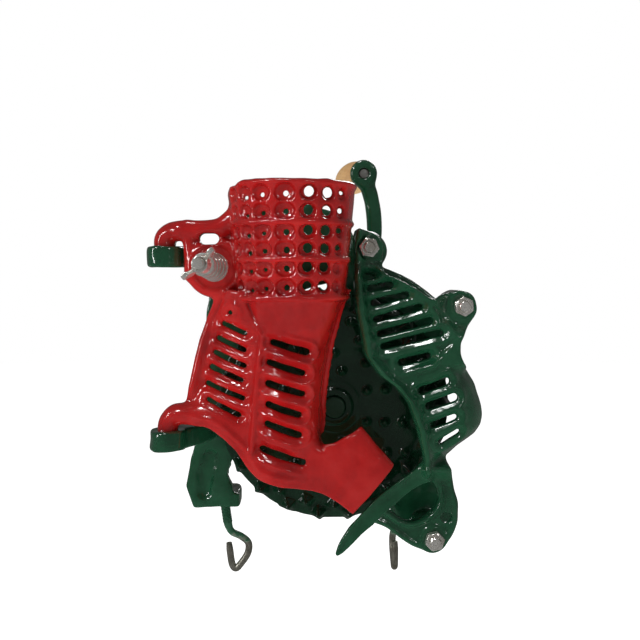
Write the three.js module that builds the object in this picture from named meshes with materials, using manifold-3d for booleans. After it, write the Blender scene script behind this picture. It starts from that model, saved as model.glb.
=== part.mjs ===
// A hand corn sheller of cast iron. An ear goes down the perforated hopper, a toothed disc strips it
// against the sprung feed cover, and the bare cob leaves between the cover's tongue and the guard.
//
// Inside the file, positions are in the shaft frame: the origin is on the drive shaft's axis at the disc's
// front face, +X to the right, +Z up, and the front of the sheller faces -Y. The exported group moves that
// frame so that the origin is on the clamp seat, under the frame's rail. Millimetres.
import * as THREE from "three";
import { mergeVertices } from "three/addons/utils/BufferGeometryUtils.js";
import Module from "manifold-3d";

const wasm = await Module();
wasm.setup();

// ---- Driving dimensions -------------------------------------------------------------------------------

const GAP = 0.3; // between pieces that touch
const SEAT = { x: -23, y: 40, z: -34 }; // the clamp seat's middle, in the shaft frame

const HOPPER = {
  x: -32.5, y: -26, rTop: 45.8, rBottom: 40.8, wall: 4.5, bottom: 84, top: 166.5,
  halfAngle: 97, // degrees each way from the front
};
const HOLES = {
  rows: 6, columns: 6, topRow: 156.5, pitchZ: 12.8, first: -42.5, pitch: 18.5, mouth: 5.6, throat: 2.4,
};
const RIB_Z = [111.7, 137.3];
const SHELL = 5; // wall of the cover's lower part and of the guard
const HINGE = { x: -124, y: -22, pinR: 4.5, tipR: 4.2 };
const RING = { outer: 13.3, hole: 6.2, height: 15.2, upperZ: 106.7, lowerZ: -27.8 };

const DISC = {
  r: 90, faceR: 73, web: 8, rim: 12, hubBack: 17.5, pinY: 13, bevel: 5,
  teeth: 22, outerRow: 84.6, innerRow: 77,
};
const CONE_ROWS = [
  { r: 28, count: 7 },
  { r: 41, count: 10 },
  { r: 54, count: 13 },
  { r: 66, count: 16 },
];
const SHAFT_R = 8;
const BEARING = { r: 17, front: 20, back: 60 };
const CRANK = { front: 66, thick: 12, eyeX: 28.5, eyeZ: 185, eyeR: 11.3, hubR: 17 };
const GRIP = { r: 14.2, length: 96, tiltX: -0.075, tiltZ: 0.035 };

const PLATE = { front: 20, back: 27 }; // the frame's back plate
const LUGS = [
  { x: 24.3, z: 121 },
  { x: 94.8, z: 77.7 },
  { x: 74.8, z: -99.2 },
];
const LUG_R = 10;
const RIM = { outer: 113, inner: 106, front: -6, from: 78, to: 41 }; // beside the guard, between two lugs
const EAR = { front: -19, back: -12 }; // the guard's bolted ears
const M8 = { r: 4, clear: 4.4, af: 13, nut: 6.5, head: 5.3 };

const BOSS = { x: -86.9, y: -34, z: 106.7, r: 21, hole: 7 };
const TENSION = { x: -0.16, y: -0.985, z: 0.055 }; // direction of the tension bolt, towards its wing nut
const WING_TURN = 90; // degrees, of the wing nut about its bolt
const SPRING = { base: 9.4, tip: 6.2, wire: 1.9, coils: 5, length: 31 };
const CLAMP_Y = 42;
const CLAMPS = [
  { name: "left", x: -88, tilt: 8 },
  { name: "right", x: 53, tilt: 0 },
];
const JAW = { top: -73, bottom: -85, halfWidth: 14 };
const PAD = { top: -53, bottom: -63.5, tip: -56.5, r: 10 };

// ---- Solids -------------------------------------------------------------------------------------------

const DEG = Math.PI / 180;

// A closed geometry as a manifold solid, moved by a matrix. Its faces end up pointing out.
function solid(geometry, matrix) {
  const bare = (geometry.index ? geometry : mergeVertices(geometry)).clone();
  bare.deleteAttribute("normal");
  bare.deleteAttribute("uv");
  if (matrix) bare.applyMatrix4(matrix);
  const merged = mergeVertices(bare, 1e-3);
  const mesh = { numProp: 3, vertProperties: merged.attributes.position.array };
  const made = new wasm.Manifold(new wasm.Mesh({ ...mesh, triVerts: new Uint32Array(merged.index.array) }));
  if (made.volume() > 0) return made;
  const turned = Array.from(merged.index.array).reverse();
  return new wasm.Manifold(new wasm.Mesh({ ...mesh, triVerts: new Uint32Array(turned) }));
}

const at = (x, y, z) => new THREE.Matrix4().makeTranslation(x, y, z);
const join = (...parts) => parts.flat().reduce((sum, part) => sum.add(part));
const cut = (body, ...tools) => tools.flat().reduce((rest, tool) => rest.subtract(tool), body);

function meshOf(name, body, material) {
  const { numProp, vertProperties, triVerts } = body.getMesh();
  const positions = new Float32Array((vertProperties.length / numProp) * 3);
  for (let i = 0; i < positions.length / 3; i++) {
    positions.set(vertProperties.subarray(i * numProp, i * numProp + 3), i * 3);
  }
  const geometry = new THREE.BufferGeometry();
  geometry.setAttribute("position", new THREE.BufferAttribute(positions, 3));
  geometry.setIndex(new THREE.BufferAttribute(triVerts, 1));
  const mesh = new THREE.Mesh(geometry, material);
  mesh.name = name;
  return mesh;
}

// A 2-D shape drawn in X and Z, as a slab from y0 to y1.
function slab(shape, y0, y1, curveSegments = 6) {
  const geometry = new THREE.ExtrudeGeometry(shape, { depth: y1 - y0, bevelEnabled: false, curveSegments });
  return solid(geometry.translate(0, 0, -y1).rotateX(Math.PI / 2));
}

function outline(points) {
  return new THREE.Shape(points.map(([x, z]) => new THREE.Vector2(x, z)));
}

// A smooth closed outline through its points.
function smoothOutline(points, steps = 4) {
  const curve = new THREE.SplineCurve([...points, points[0]].map(([x, z]) => new THREE.Vector2(x, z)));
  return new THREE.Shape(curve.getPoints(points.length * steps).slice(0, -1));
}

// A cylinder along Y, from y0 to y1; r1 makes it a cone.
function roundY(x, z, r, y0, y1, sides = 20, r1 = r) {
  const geometry = new THREE.CylinderGeometry(r1, r, y1 - y0, sides);
  return solid(geometry, at(x, (y0 + y1) / 2, z));
}

function roundZ(x, y, r, z0, z1, sides = 20, r1 = r) {
  const geometry = new THREE.CylinderGeometry(r1, r, z1 - z0, sides).rotateX(Math.PI / 2);
  return solid(geometry, at(x, y, (z0 + z1) / 2));
}

// A turned solid about the local Y axis; the profile is [radius, height] and starts and ends on the axis.
function turned(profile, sides, matrix) {
  const points = profile.map(([r, y]) => new THREE.Vector2(r, y));
  return solid(new THREE.LatheGeometry(points, sides), matrix);
}

// A hexagonal prism with a round hole, along the local Y axis from 0 to its height.
function hexPrism(acrossFlats, hole, height, matrix) {
  const hex = new THREE.CylinderGeometry(acrossFlats / Math.sqrt(3), acrossFlats / Math.sqrt(3), height, 6);
  const body = solid(hex, at(0, height / 2, 0));
  const pin = new THREE.CylinderGeometry(hole, hole, height + 2, 16);
  const bore = hole ? solid(pin, at(0, height / 2, 0)) : null;
  const made = bore ? body.subtract(bore) : body;
  return moved(made, matrix);
}

// A solid moved by a matrix.
function moved(body, matrix) {
  return body.transform(matrix.elements);
}

// A round rod along a smooth path.
function rod(points, radius, steps, sides = 8) {
  const circle = new THREE.Shape();
  for (let i = 0; i < sides; i++) {
    const a = ((i + 0.5) * 2 * Math.PI) / sides;
    const corner = [radius * Math.cos(a), radius * Math.sin(a)];
    if (i === 0) circle.moveTo(...corner);
    else circle.lineTo(...corner);
  }
  const path = new THREE.CatmullRomCurve3(
    points.map((p) => new THREE.Vector3(...p)),
    false,
    "centripetal",
  );
  return solid(new THREE.ExtrudeGeometry(circle, { steps, extrudePath: path, bevelEnabled: false }));
}

// A closed shell between a front and a back surface, both given over a grid of u and v from 0 to 1.
function shell(columns, rows, front, back) {
  const positions = [];
  const index = [];
  for (const surface of [front, back]) {
    for (let j = 0; j <= rows; j++) {
      for (let i = 0; i <= columns; i++) positions.push(...surface(i / columns, j / rows));
    }
  }
  const half = (columns + 1) * (rows + 1);
  const node = (i, j) => j * (columns + 1) + i;
  const quad = (a, b, c, d) => index.push(a, b, c, a, c, d);
  for (let j = 0; j < rows; j++) {
    for (let i = 0; i < columns; i++) {
      const [a, b, c, d] = [node(i, j), node(i + 1, j), node(i + 1, j + 1), node(i, j + 1)];
      quad(a, b, c, d);
      quad(a + half, d + half, c + half, b + half);
    }
  }
  for (let i = 0; i < columns; i++) {
    quad(node(i + 1, 0), node(i, 0), node(i, 0) + half, node(i + 1, 0) + half);
    quad(node(i, rows), node(i + 1, rows), node(i + 1, rows) + half, node(i, rows) + half);
  }
  for (let j = 0; j < rows; j++) {
    quad(node(0, j), node(0, j + 1), node(0, j + 1) + half, node(0, j) + half);
    quad(node(columns, j + 1), node(columns, j), node(columns, j) + half, node(columns, j + 1) + half);
  }
  const geometry = new THREE.BufferGeometry();
  geometry.setAttribute("position", new THREE.Float32BufferAttribute(positions, 3));
  geometry.setIndex(index);
  return solid(geometry);
}

// A sheet whose front is y = height(x, z) over a box in X and Z, cut to an outline.
function sheet(height, box, columns, rows, thickness, shape) {
  const step = 0.5;
  const point = (u, v) => [box.x0 + u * (box.x1 - box.x0), box.z0 + v * (box.z1 - box.z0)];
  const front = (u, v) => {
    const [x, z] = point(u, v);
    return [x, height(x, z), z];
  };
  const back = (u, v) => {
    const [x, z] = point(u, v);
    const slopeX = (height(x + step, z) - height(x - step, z)) / (2 * step);
    const slopeZ = (height(x, z + step) - height(x, z - step)) / (2 * step);
    const stretch = Math.min(Math.hypot(1, slopeX, slopeZ), 1.6);
    return [x, height(x, z) + thickness * stretch, z];
  };
  return shell(columns, rows, front, back).intersect(slab(shape, -100, 30));
}

const mix = (a, b, t) => a + (b - a) * t;
const smooth = (from, to, value) => THREE.MathUtils.smoothstep((value - from) / (to - from), 0, 1);

// The value at z between knots [z, value] that fall in z, smoothed from knot to knot.
function between(knots, z) {
  const last = knots[knots.length - 1];
  if (z >= knots[0][0]) return knots[0][1];
  if (z <= last[0]) return last[1];
  const i = knots.findIndex(([level]) => level <= z);
  const [z0, v0] = knots[i - 1];
  const [z1, v1] = knots[i];
  return mix(v0, v1, (z - z0) / (z1 - z0));
}

// A slot with round ends, cut through in Y.
function slot(x, z, length, width, tilt, y0, y1) {
  const half = length / 2 - width / 2;
  const shape = new THREE.Shape();
  shape.absarc(half, 0, width / 2, -Math.PI / 2, Math.PI / 2);
  shape.absarc(-half, 0, width / 2, Math.PI / 2, (3 * Math.PI) / 2);
  const settings = { depth: y1 - y0, bevelEnabled: false, curveSegments: 2 };
  const geometry = new THREE.ExtrudeGeometry(shape, settings);
  geometry.rotateZ(tilt * DEG);
  return solid(geometry.translate(x, z, -y1).rotateX(Math.PI / 2));
}

// ---- Feed cover ---------------------------------------------------------------------------------------

const CHANNEL_X = [[88, -32.5], [84, -32], [64, -28.5], [50, -29.7], [35, -32], [8, -35], [-20, -36]];
const CHANNEL_W = [[88, 40.5], [84, 38.5], [64, 28], [50, 25.4], [35, 25], [-20, 25.2]];
const CHANNEL_FRONT = [[88, -67], [84, -66.5], [64, -63], [50, -59], [20, -55], [-20, -51], [-55, -47]];
const CHANNEL_SIDE = [[88, -26], [60, -20]];
const RIDGE_X = [[84, -66], [58, -54], [25, -58], [-4, -60], [-26, -61.5]];
const WING_LEFT = [[84, -88], [64, -96.5], [45, -102.5], [23, -107.7], [8, -112], [2, -119]];

// The front of the cover below the hopper.
function coverFront(x, z) {
  const t = Math.min(Math.abs((x - between(CHANNEL_X, z)) / between(CHANNEL_W, z)), 1);
  const side = between(CHANNEL_SIDE, z);
  const channel = side + (between(CHANNEL_FRONT, z) - side) * Math.pow(1 - Math.pow(t, 2.3), 0.55);
  const ridge = between(RIDGE_X, z);
  const left = between(WING_LEFT, z);
  const s = THREE.MathUtils.clamp((x - left) / (ridge - left), 0, 1);
  const edge = mix(-14, -23, smooth(22, 4, z));
  const wing = edge - (36 + edge) * (1 - Math.pow(1 - s, 3)) + Math.max(x - ridge, 0) * 3;
  const crest = z < 62 ? -2.5 * Math.exp(-Math.pow((x - ridge) / 3.5, 2)) : 0;
  const body = Math.min(channel, wing) + crest;
  const tongue = -44 + 0.14 * (x + 15);
  const intoChannel = smooth(-12, -27, z) * smooth(-36, -20, x);
  const beside = smooth(5, 0, z) * smooth(-11.5, -9, x);
  return mix(body, tongue, Math.max(intoChannel, beside));
}

const COVER_OUTLINE = [
  [10, 89], [5.5, 82], [3, 76], [-0.9, 64], [-4.3, 50], [-7.1, 35.3], [-8.8, 21.6], [-10, 8], [-10.3, -8],
  [-11, -22.5], [3, -18], [18.4, -9.5], [43.3, -39.1], [11.9, -73.6], [-2, -62], [-16.5, -54.8], [-43.1, -50],
  [-55, -46.5], [-63.6, -40.2], [-70, -30], [-78, -20.8], [-91.4, -10.3], [-103.2, -8.5], [-119, -7],
  [-119, 2.5], [-112, 6], [-109, 14], [-107.5, 23.3], [-102.3, 45.6], [-96.3, 64.1], [-88, 84], [-82, 89],
];

// The hopper widens a little towards its mouth.
function hopperRadius(z) {
  const { rBottom, rTop, bottom, top } = HOPPER;
  return mix(rBottom, rTop, (z - bottom) / (top - bottom));
}

function hopperShell() {
  const radius = (z) => {
    const rib = RIB_Z.some((level) => Math.abs(z - level) < 1);
    const flange = z < HOPPER.bottom + 3;
    return hopperRadius(z) + (rib ? 1.3 : 0) + (flange ? 1.5 : 0);
  };
  const { bottom, top, halfAngle } = HOPPER;
  // The grid's lines run between the holes, along the ribs and round the bottom flange.
  const levels = [bottom, bottom + 2.5, bottom + 4];
  for (let row = HOLES.rows - 1; row >= 1; row--) {
    const z = HOLES.topRow - (row - 0.5) * HOLES.pitchZ;
    const rib = RIB_Z.find((level) => Math.abs(level - z) < 2);
    levels.push(...(rib ? [rib - 1.8, rib, rib + 1.8] : [z]));
  }
  levels.push(top);
  const angles = [-halfAngle];
  for (let column = -2; column <= HOLES.columns + 2; column++) {
    angles.push(HOLES.first + (column - 0.5) * HOLES.pitch);
  }
  const wall = (inset) => (u, v) => {
    const z = levels[Math.round(v * (levels.length - 1))];
    const a = angles[Math.round(u * (angles.length - 1))] * DEG;
    const r = inset ? hopperRadius(z) - HOPPER.wall : radius(z);
    return [HOPPER.x + r * Math.sin(a), HOPPER.y - r * Math.cos(a), z];
  };
  return shell(angles.length - 1, levels.length - 1, wall(false), wall(true));
}

// The dimples of the hopper: tapered holes, wide outside.
function hopperHoles() {
  const tools = [];
  for (let row = 0; row < HOLES.rows; row++) {
    for (let column = 0; column < HOLES.columns; column++) {
      const a = (HOLES.first + column * HOLES.pitch) * DEG;
      const z = HOLES.topRow - row * HOLES.pitchZ;
      const throat = column < 3 ? HOLES.throat : column < 5 ? HOLES.throat * 1.7 : HOLES.throat * 1.2;
      const cone = new THREE.CylinderGeometry(HOLES.mouth, throat, HOPPER.wall + 1, 5);
      cone.rotateX(Math.PI / 2);
      cone.translate(0, 0, hopperRadius(z) - HOPPER.wall / 2);
      cone.rotateX(Math.PI / 2);
      cone.rotateZ(a);
      tools.push(solid(cone, at(HOPPER.x, HOPPER.y, z)));
    }
  }
  return tools;
}

function feedCover() {
  const box = { x0: -122, x1: 46, z0: -76, z1: 90 };
  const lower = sheet(coverFront, box, 18, 10, SHELL, outline(COVER_OUTLINE));
  const arm = outline([
    [-70, 152], [-77.5, 149], [-81, 143], [-86.6, 140.2], [-113, 140.2], [-113, 128], [-108.2, 122],
    [-108.2, 98], [-105.7, 96], [-101.4, 90.9], [-93.6, 86.2], [-85.7, 83], [-72, 80], [-69, 100],
  ]);
  const boss = roundY(BOSS.x, BOSS.z, BOSS.r, BOSS.y, -25, 24);
  const upperHook = rod(
    [
      [-108, -25, 135], [-117, -24.5, 135], [-122.5, HINGE.y, 130.5], [HINGE.x, HINGE.y, 122],
      [HINGE.x, HINGE.y, 117],
    ],
    HINGE.pinR, 8,
  );
  const lowerHook = rod(
    [
      [-106, -24, -1], [-114, -23, -1], [-121, HINGE.y, -4.5],
      [HINGE.x, HINGE.y, -13], [HINGE.x, HINGE.y, -20],
    ],
    HINGE.pinR, 8,
  );
  const pins = [RING.upperZ, RING.lowerZ].map((z) => {
    return roundZ(HINGE.x, HINGE.y, HINGE.tipR, z + 1, z + RING.height + 0.8, 12, HINGE.pinR);
  });
  const [low, high] = [HOPPER.bottom, HOPPER.top];
  const [inLow, inHigh] = [low, high].map((z) => hopperRadius(z) - HOPPER.wall / 2);
  const hollow = roundZ(HOPPER.x, HOPPER.y, inLow, low, high, 24, inHigh);
  const side = cut(join(slab(arm, -32, -25), boss), hollow);
  const body = join(hopperShell(), lower, side, upperHook, lowerHook, pins);
  const window = solid(new THREE.CylinderGeometry(4, 4, 20, 14).scale(1.75, 1, 1), at(-91.2, -28, 126.9));
  const boltHole = roundY(BOSS.x + 0.6, BOSS.z, BOSS.hole, -45, -10, 16);
  const ringDish = roundY(BOSS.x, BOSS.z, 15, BOSS.y - 1, BOSS.y + 2, 20);
  const eye = roundY(-76, 75, 1.8, -60, -5, 8);
  const slots = [];
  for (let i = 0; i < 6; i++) {
    slots.push(slot(-73.8 - 1.7 * i, 63 - 11.5 * i, 21 + 1.6 * i, 4, -22, -70, -5));
    slots.push(slot(-34.5 - 1 * i, 51 - 15 * i, 28.5, 5, -18, -75, -5));
  }
  return cut(body, hopperHoles(), window, ringDish, boltHole, eye, slots);
}

// ---- Guard --------------------------------------------------------------------------------------------

const LIP = [
  [134, 13.7], [108, 12.9], [90, 12.5], [76.6, 13.9], [61.4, 16.8], [41.4, 20.9], [27.6, 31.7], [18.6, 43],
  [7.3, 51.9], [-4.1, 56.4], [-16.9, 60.3], [-33.4, 63.6], [-49, 64.4],
];
const BULGE_X = [
  [45, 93], [36, 97], [30, 101.5], [16.5, 108.5], [8, 112], [0, 114.3], [-6, 115], [-14, 113.8],
  [-21, 109], [-30, 97], [-40, 85],
];

// The front of the guard.
function guardFront(x, z) {
  const fromLip = x - between(LIP, z);
  const rolled = -8 * Math.exp(-Math.pow(Math.max(fromLip - 2, 0) / 5, 2));
  const toEar = Math.min(...LUGS.map((lug) => Math.hypot(x - lug.x, z - lug.z)));
  const panel = mix(-27, EAR.front, Math.max(smooth(105, 118, z), smooth(24, 12, toEar)));
  const low = mix(panel, -17, smooth(-42, -56, z));
  const edge = between(BULGE_X, z);
  const bulge = smooth(34, 26, z) * smooth(-44, -36, z);
  const round = 26 * (1 - Math.sqrt(Math.max(1 - Math.pow(smooth(edge - 34, edge + 1, x), 2), 0)));
  return low + rolled * smooth(-62, -45, z) + bulge * round;
}

const GUARD_OUTLINE = [
  [13.7, 133.2], [12.9, 108.2], [12.5, 90.3], [13.9, 76.6], [16.8, 61.4], [20.9, 41.4], [31.7, 27.6],
  [43, 18.6], [51.9, 7.3], [56.4, -4.1], [60.3, -16.9], [63.6, -33.4], [63, -46], [50, -54], [34, -64],
  [26, -76], [27, -84.8], [38, -90.3], [48.2, -98.2], [58.4, -105.2], [68, -108.6], [77, -109.4],
  [84.6, -104.2], [90.6, -95.6], [93.8, -86.5], [94, -77.3], [92.8, -67.8], [90.3, -58.3], [87.7, -48.1],
  [85.6, -40], [86.5, -36.5], [92.5, -32.5], [98.5, -29], [104, -25.5], [109, -21], [112.6, -16.5],
  [114.5, -11.5], [115, -6], [114.2, 0.5], [111.8, 8.5], [108.5, 16.5], [105, 24], [101, 30.5],
  [96.5, 36.5], [93.2, 42], [92.6, 47], [93.6, 53.5], [103, 68.6], [105, 77], [102, 86], [94.9, 89.5],
  [86, 88], [77.4, 86], [71.1, 83.2],
  [59.5, 90.8], [46.1, 97.9], [35.7, 103.1], [35, 113.4], [33.5, 126], [26, 133],
];
// Middle in X and Z, length, width and tilt in degrees of each slot in the bulge.
const SIDE_SLOTS = [
  [72.7, 18.9, 24.5, 5.2, 21], [78.6, 7.2, 25, 5.8, 18.4], [80.2, -7.3, 21.7, 4.8, 20],
  [84.3, -18.9, 18.5, 3.6, 31],
];
const D_HOLE = [
  [39.5, -74], [47, -66], [58, -58.5], [69, -54], [75, -56.8], [77.5, -64], [77.6, -69], [75.5, -74.5],
  [71.5, -79], [65.5, -82.8], [58, -85], [50.2, -83.3], [44.5, -79.2],
];

function guard() {
  const box = { x0: 10, x1: 117, z0: -113, z1: 136 };
  const panel = sheet(guardFront, box, 11, 15, SHELL, outline(GUARD_OUTLINE));
  const ears = LUGS.map((lug) => roundY(lug.x, lug.z, LUG_R, EAR.front, EAR.back, 18));
  const bolts = LUGS.map((lug) => roundY(lug.x, lug.z, M8.clear, -40, 0, 14));
  const clearNuts = LUGS.map((lug) => roundY(lug.x, lug.z, 9, -45, EAR.front, 18));
  const dHole = slab(smoothOutline(D_HOLE, 3), -40, 10);
  const spare = roundY(84.5, -83.1, 4, -40, 10, 12);
  const slots = [slot(24.6, 100.5, 9, 4.4, 4, -45, 0)];
  for (let i = 0; i < 5; i++) {
    slots.push(slot(32 + 6.1 * i, 92.5 - 9.8 * i, 20 + 7 * i, 4.4, 10 + 1.2 * i, -45, 0));
  }
  slots.push(slot(58.5, 39, 25, 4.4, 13.4, -45, 0));
  for (const [x, z, length, width, tilt] of SIDE_SLOTS) {
    slots.push(slot(x, z, length, width, tilt, -45, 25));
  }
  return cut(join(panel, ears, cobTongue()), clearNuts, bolts, dHole, spare, slots);
}

// The blade that carries the cob down and out to the left: a tapering strip along a curve.
function cobTongue() {
  const middle = new THREE.CatmullRomCurve3([
    new THREE.Vector3(68, -23, -47),
    new THREE.Vector3(54.5, -27, -55),
    new THREE.Vector3(37.5, -31, -64.5),
    new THREE.Vector3(23.5, -35.5, -76.5),
    new THREE.Vector3(9.5, -40.5, -89.5),
    new THREE.Vector3(-0.8, -44, -102),
  ]);
  const surface = (lift) => (u, v) => {
    const p = middle.getPoint(v);
    const along = middle.getTangent(v);
    const across = new THREE.Vector3(-along.z, 0, along.x).normalize();
    const width = mix(15, 9, v) * Math.sqrt(Math.max(1 - Math.pow(v, 8), 0.05));
    const offset = (u - 0.5) * width;
    const dish = 2.5 * Math.pow(2 * u - 1, 2);
    return [p.x + across.x * offset, p.y - dish + lift, p.z + across.z * offset];
  };
  return shell(4, 12, surface(0), surface(SHELL));
}

// ---- Frame --------------------------------------------------------------------------------------------

// A straight web between two points in X and Z.
function web(x0, z0, x1, z1, width, y0, y1) {
  const length = Math.hypot(x1 - x0, z1 - z0);
  const tilt = Math.atan2(z1 - z0, x1 - x0) / DEG;
  return slot((x0 + x1) / 2, (z0 + z1) / 2, length + width, width, tilt, y0, y1);
}

function clampFoot(clamp) {
  const spine = outline([
    [clamp.x - 21, SEAT.z + 4], [clamp.x - 26, -52], [clamp.x - 29, -67], [clamp.x - 23, JAW.bottom],
    [clamp.x + 7, JAW.bottom], [clamp.x + 8.5, -67], [clamp.x + 4, -57], [clamp.x + 8, -46],
    [clamp.x + 18, SEAT.z + 4],
  ]);
  const jaw = roundZ(clamp.x, CLAMP_Y, JAW.halfWidth, JAW.bottom, JAW.top, 18);
  const neck = solid(
    new THREE.BoxGeometry(JAW.halfWidth * 2, CLAMP_Y - PLATE.front, JAW.top - JAW.bottom),
    at(clamp.x, (CLAMP_Y + PLATE.front) / 2, (JAW.top + JAW.bottom) / 2),
  );
  return join(slab(spine, PLATE.front, PLATE.back + 3), jaw, neck);
}

function frame() {
  const throat = outline([
    [-96, 124], [-88, 124], [-80, 138], [-64, 151], [-42, 157], [-16, 156], [6, 147], [16, 133], [16.5, 92],
    [9, 96], [-12, 92], [-34, 84], [-46, 72], [-62, 54], [-74, 34], [-80, 12], [-82, -12], [-93, -33],
    [-106, -33], [-106, 0], [-103, 30], [-100, 60], [-97, 90],
  ]);
  const plate = slab(throat, PLATE.front, PLATE.back);
  const fan = outline([
    [14, 12], [14, 96], [22, 104], [45, 96.5], [60, 88], [75, 76], [88, 60], [96, 46], [97, 36], [56, 26],
  ]);
  const screen = slab(fan, PLATE.front, PLATE.back);
  const hub = roundY(0, 0, BEARING.r, BEARING.front, BEARING.back, 24);
  const flare = roundY(0, 0, 28, PLATE.front, PLATE.back + 3, 24);
  const arms = [
    web(0, 0, 14, 96, 16, PLATE.front, PLATE.back),
    web(8, 100, LUGS[0].x, LUGS[0].z, 18, PLATE.front, PLATE.back),
    web(0, 0, LUGS[1].x, LUGS[1].z, 16, PLATE.front, PLATE.back),
    web(0, 0, LUGS[2].x, LUGS[2].z, 20, PLATE.front, PLATE.back),
    web(0, 0, -96, 34, 16, PLATE.front, PLATE.back),
    web(0, 0, -70, -30, 16, PLATE.front, PLATE.back),
  ];
  const footPad = join(
    web(66, -70, 76, -94, 46, PLATE.front, PLATE.back),
    roundY(66, -70, 23, PLATE.front, PLATE.back, 28),
    roundY(76, -94, 23, PLATE.front, PLATE.back, 28),
  );
  const band = new THREE.Shape();
  band.absarc(0, 0, RIM.outer, RIM.from * DEG, RIM.to * DEG, true);
  band.absarc(0, 0, RIM.inner, RIM.to * DEG, RIM.from * DEG, false);
  const rim = slab(band, RIM.front, PLATE.back);
  const lugs = LUGS.map((lug) => roundY(lug.x, lug.z, LUG_R + 1.5, EAR.back + GAP, PLATE.back, 18));
  const railWidth = CLAMPS[1].x - CLAMPS[0].x + 36;
  const railX = (CLAMPS[0].x + CLAMPS[1].x) / 2;
  const rail = solid(new THREE.BoxGeometry(railWidth, 36, 7), at(railX, PLATE.front + 18, SEAT.z + 4.5));
  const railRib = solid(new THREE.BoxGeometry(railWidth, 8, 20), at(railX, PLATE.front + 4, SEAT.z + 11));
  const seat = solid(new THREE.BoxGeometry(64, 20, 4), at(SEAT.x, SEAT.y + 2, SEAT.z + 2));
  const feet = CLAMPS.map(clampFoot);
  const rings = [RING.upperZ, RING.lowerZ].map((z) => {
    return roundZ(HINGE.x, HINGE.y, RING.outer, z, z + RING.height, 20);
  });
  const ringArms = [RING.upperZ, RING.lowerZ].map((z) => {
    const arm = new THREE.Shape();
    arm.moveTo(HINGE.x - 4, HINGE.y + 10);
    arm.lineTo(HINGE.x + 11, HINGE.y + 2);
    arm.quadraticCurveTo(-104, -14, -95, 2);
    arm.lineTo(-88, PLATE.back);
    arm.lineTo(-106, PLATE.back);
    arm.quadraticCurveTo(-107, 4, HINGE.x - 4, HINGE.y + 10);
    const settings = { depth: RING.height, bevelEnabled: false, curveSegments: 5 };
    const geometry = new THREE.ExtrudeGeometry(arm, settings);
    return solid(geometry, at(0, 0, z));
  });
  const plates = [plate, screen, flare, footPad];
  const body = join(plates, hub, arms, rim, lugs, rail, railRib, seat, feet, rings, ringArms);
  const ringHoles = [RING.upperZ, RING.lowerZ].map((z) => {
    return roundZ(HINGE.x, HINGE.y, RING.hole, z - 2, z + RING.height + 2, 16);
  });
  const bore = roundY(0, 0, SHAFT_R + GAP, 0, 80, 24);
  const bolts = LUGS.map((lug) => roundY(lug.x, lug.z, M8.clear, -30, 40, 14));
  const screwHoles = CLAMPS.map((clamp) => moved(roundZ(0, 0, M8.r + GAP, -120, -60, 14), clampAxis(clamp)));
  return cut(body, ringHoles, bore, bolts, screwHoles, boltHoleInFrame());
}

// ---- Tension bolt, spring, washer and wing nut --------------------------------------------------------

// Turns +Y to the tension bolt's direction and moves the origin to its middle on the cover's boss.
function tensionMatrix() {
  const direction = new THREE.Vector3(TENSION.x, TENSION.y, TENSION.z).normalize();
  const turn = new THREE.Quaternion().setFromUnitVectors(new THREE.Vector3(0, 1, 0), direction);
  const place = new THREE.Vector3(BOSS.x, BOSS.y, BOSS.z);
  return new THREE.Matrix4().compose(place, turn, new THREE.Vector3(1, 1, 1));
}

const BOLT_FOOT = -62.5; // under the bolt's head, on its own axis
const alongBolt = (height) => new THREE.Matrix4().multiplyMatrices(tensionMatrix(), at(0, height, 0));

// The frame's hole for the tension bolt, with the seat that its head sits on.
function boltHoleInFrame() {
  const hole = solid(new THREE.CylinderGeometry(M8.clear, M8.clear, 30, 14), at(0, -55, 0));
  const seat = solid(new THREE.CylinderGeometry(9, 9, 20, 18), at(0, BOLT_FOOT + GAP - 10, 0));
  return moved(join(hole, seat), tensionMatrix());
}

function tensionBolt() {
  const length = SPRING.length + 15 - BOLT_FOOT;
  const shank = solid(new THREE.CylinderGeometry(M8.r, M8.r, length, 16), at(0, BOLT_FOOT + length / 2, 0));
  const head = hexPrism(M8.af, 0, M8.head, at(0, BOLT_FOOT - M8.head, 0));
  return moved(join(shank, head), tensionMatrix());
}

function tensionSpring() {
  const start = -1.0;
  const points = [];
  const turns = SPRING.coils * 2 * Math.PI;
  const count = SPRING.coils * 10;
  for (let i = 0; i <= count; i++) {
    const t = i / count;
    const r = mix(SPRING.base, SPRING.tip, t);
    const a = t * turns;
    points.push([r * Math.cos(a), start + SPRING.wire + t * (SPRING.length - SPRING.wire), r * Math.sin(a)]);
  }
  return moved(rod(points, SPRING.wire / 2, count, 5), tensionMatrix());
}

function springWasher() {
  const profile = [[M8.clear, 0], [8, 0], [8, 1.6], [M8.clear, 1.6], [M8.clear, 0]];
  return turned(profile, 20, alongBolt(SPRING.length + 0.6));
}

function wingNut() {
  const base = SPRING.length + 0.6 + 1.6 + GAP;
  const hub = turned([[0, 0], [6.6, 0], [6.6, 3], [5.6, 9], [0, 9]], 16);
  const wing = new THREE.Shape();
  wing.moveTo(3, 1);
  wing.quadraticCurveTo(9, 1.5, 11, 6);
  wing.quadraticCurveTo(14.5, 9, 14.6, 13);
  wing.quadraticCurveTo(12.5, 15, 9.5, 13);
  wing.quadraticCurveTo(7.5, 9, 4, 8);
  const thick = { depth: 3.6, bevelEnabled: false, curveSegments: 4 };
  const wings = [0, 180].map((turn) => {
    const geometry = new THREE.ExtrudeGeometry(wing, thick).translate(0, 0, -1.8);
    return solid(geometry.rotateY(turn * DEG));
  });
  const bore = solid(new THREE.CylinderGeometry(M8.clear - 0.1, M8.clear - 0.1, 30, 14), at(0, 5, 0));
  const nut = cut(join(hub, wings), bore);
  const turn = new THREE.Matrix4().makeRotationY(WING_TURN * DEG);
  return moved(nut, new THREE.Matrix4().multiplyMatrices(alongBolt(base), turn));
}

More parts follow.
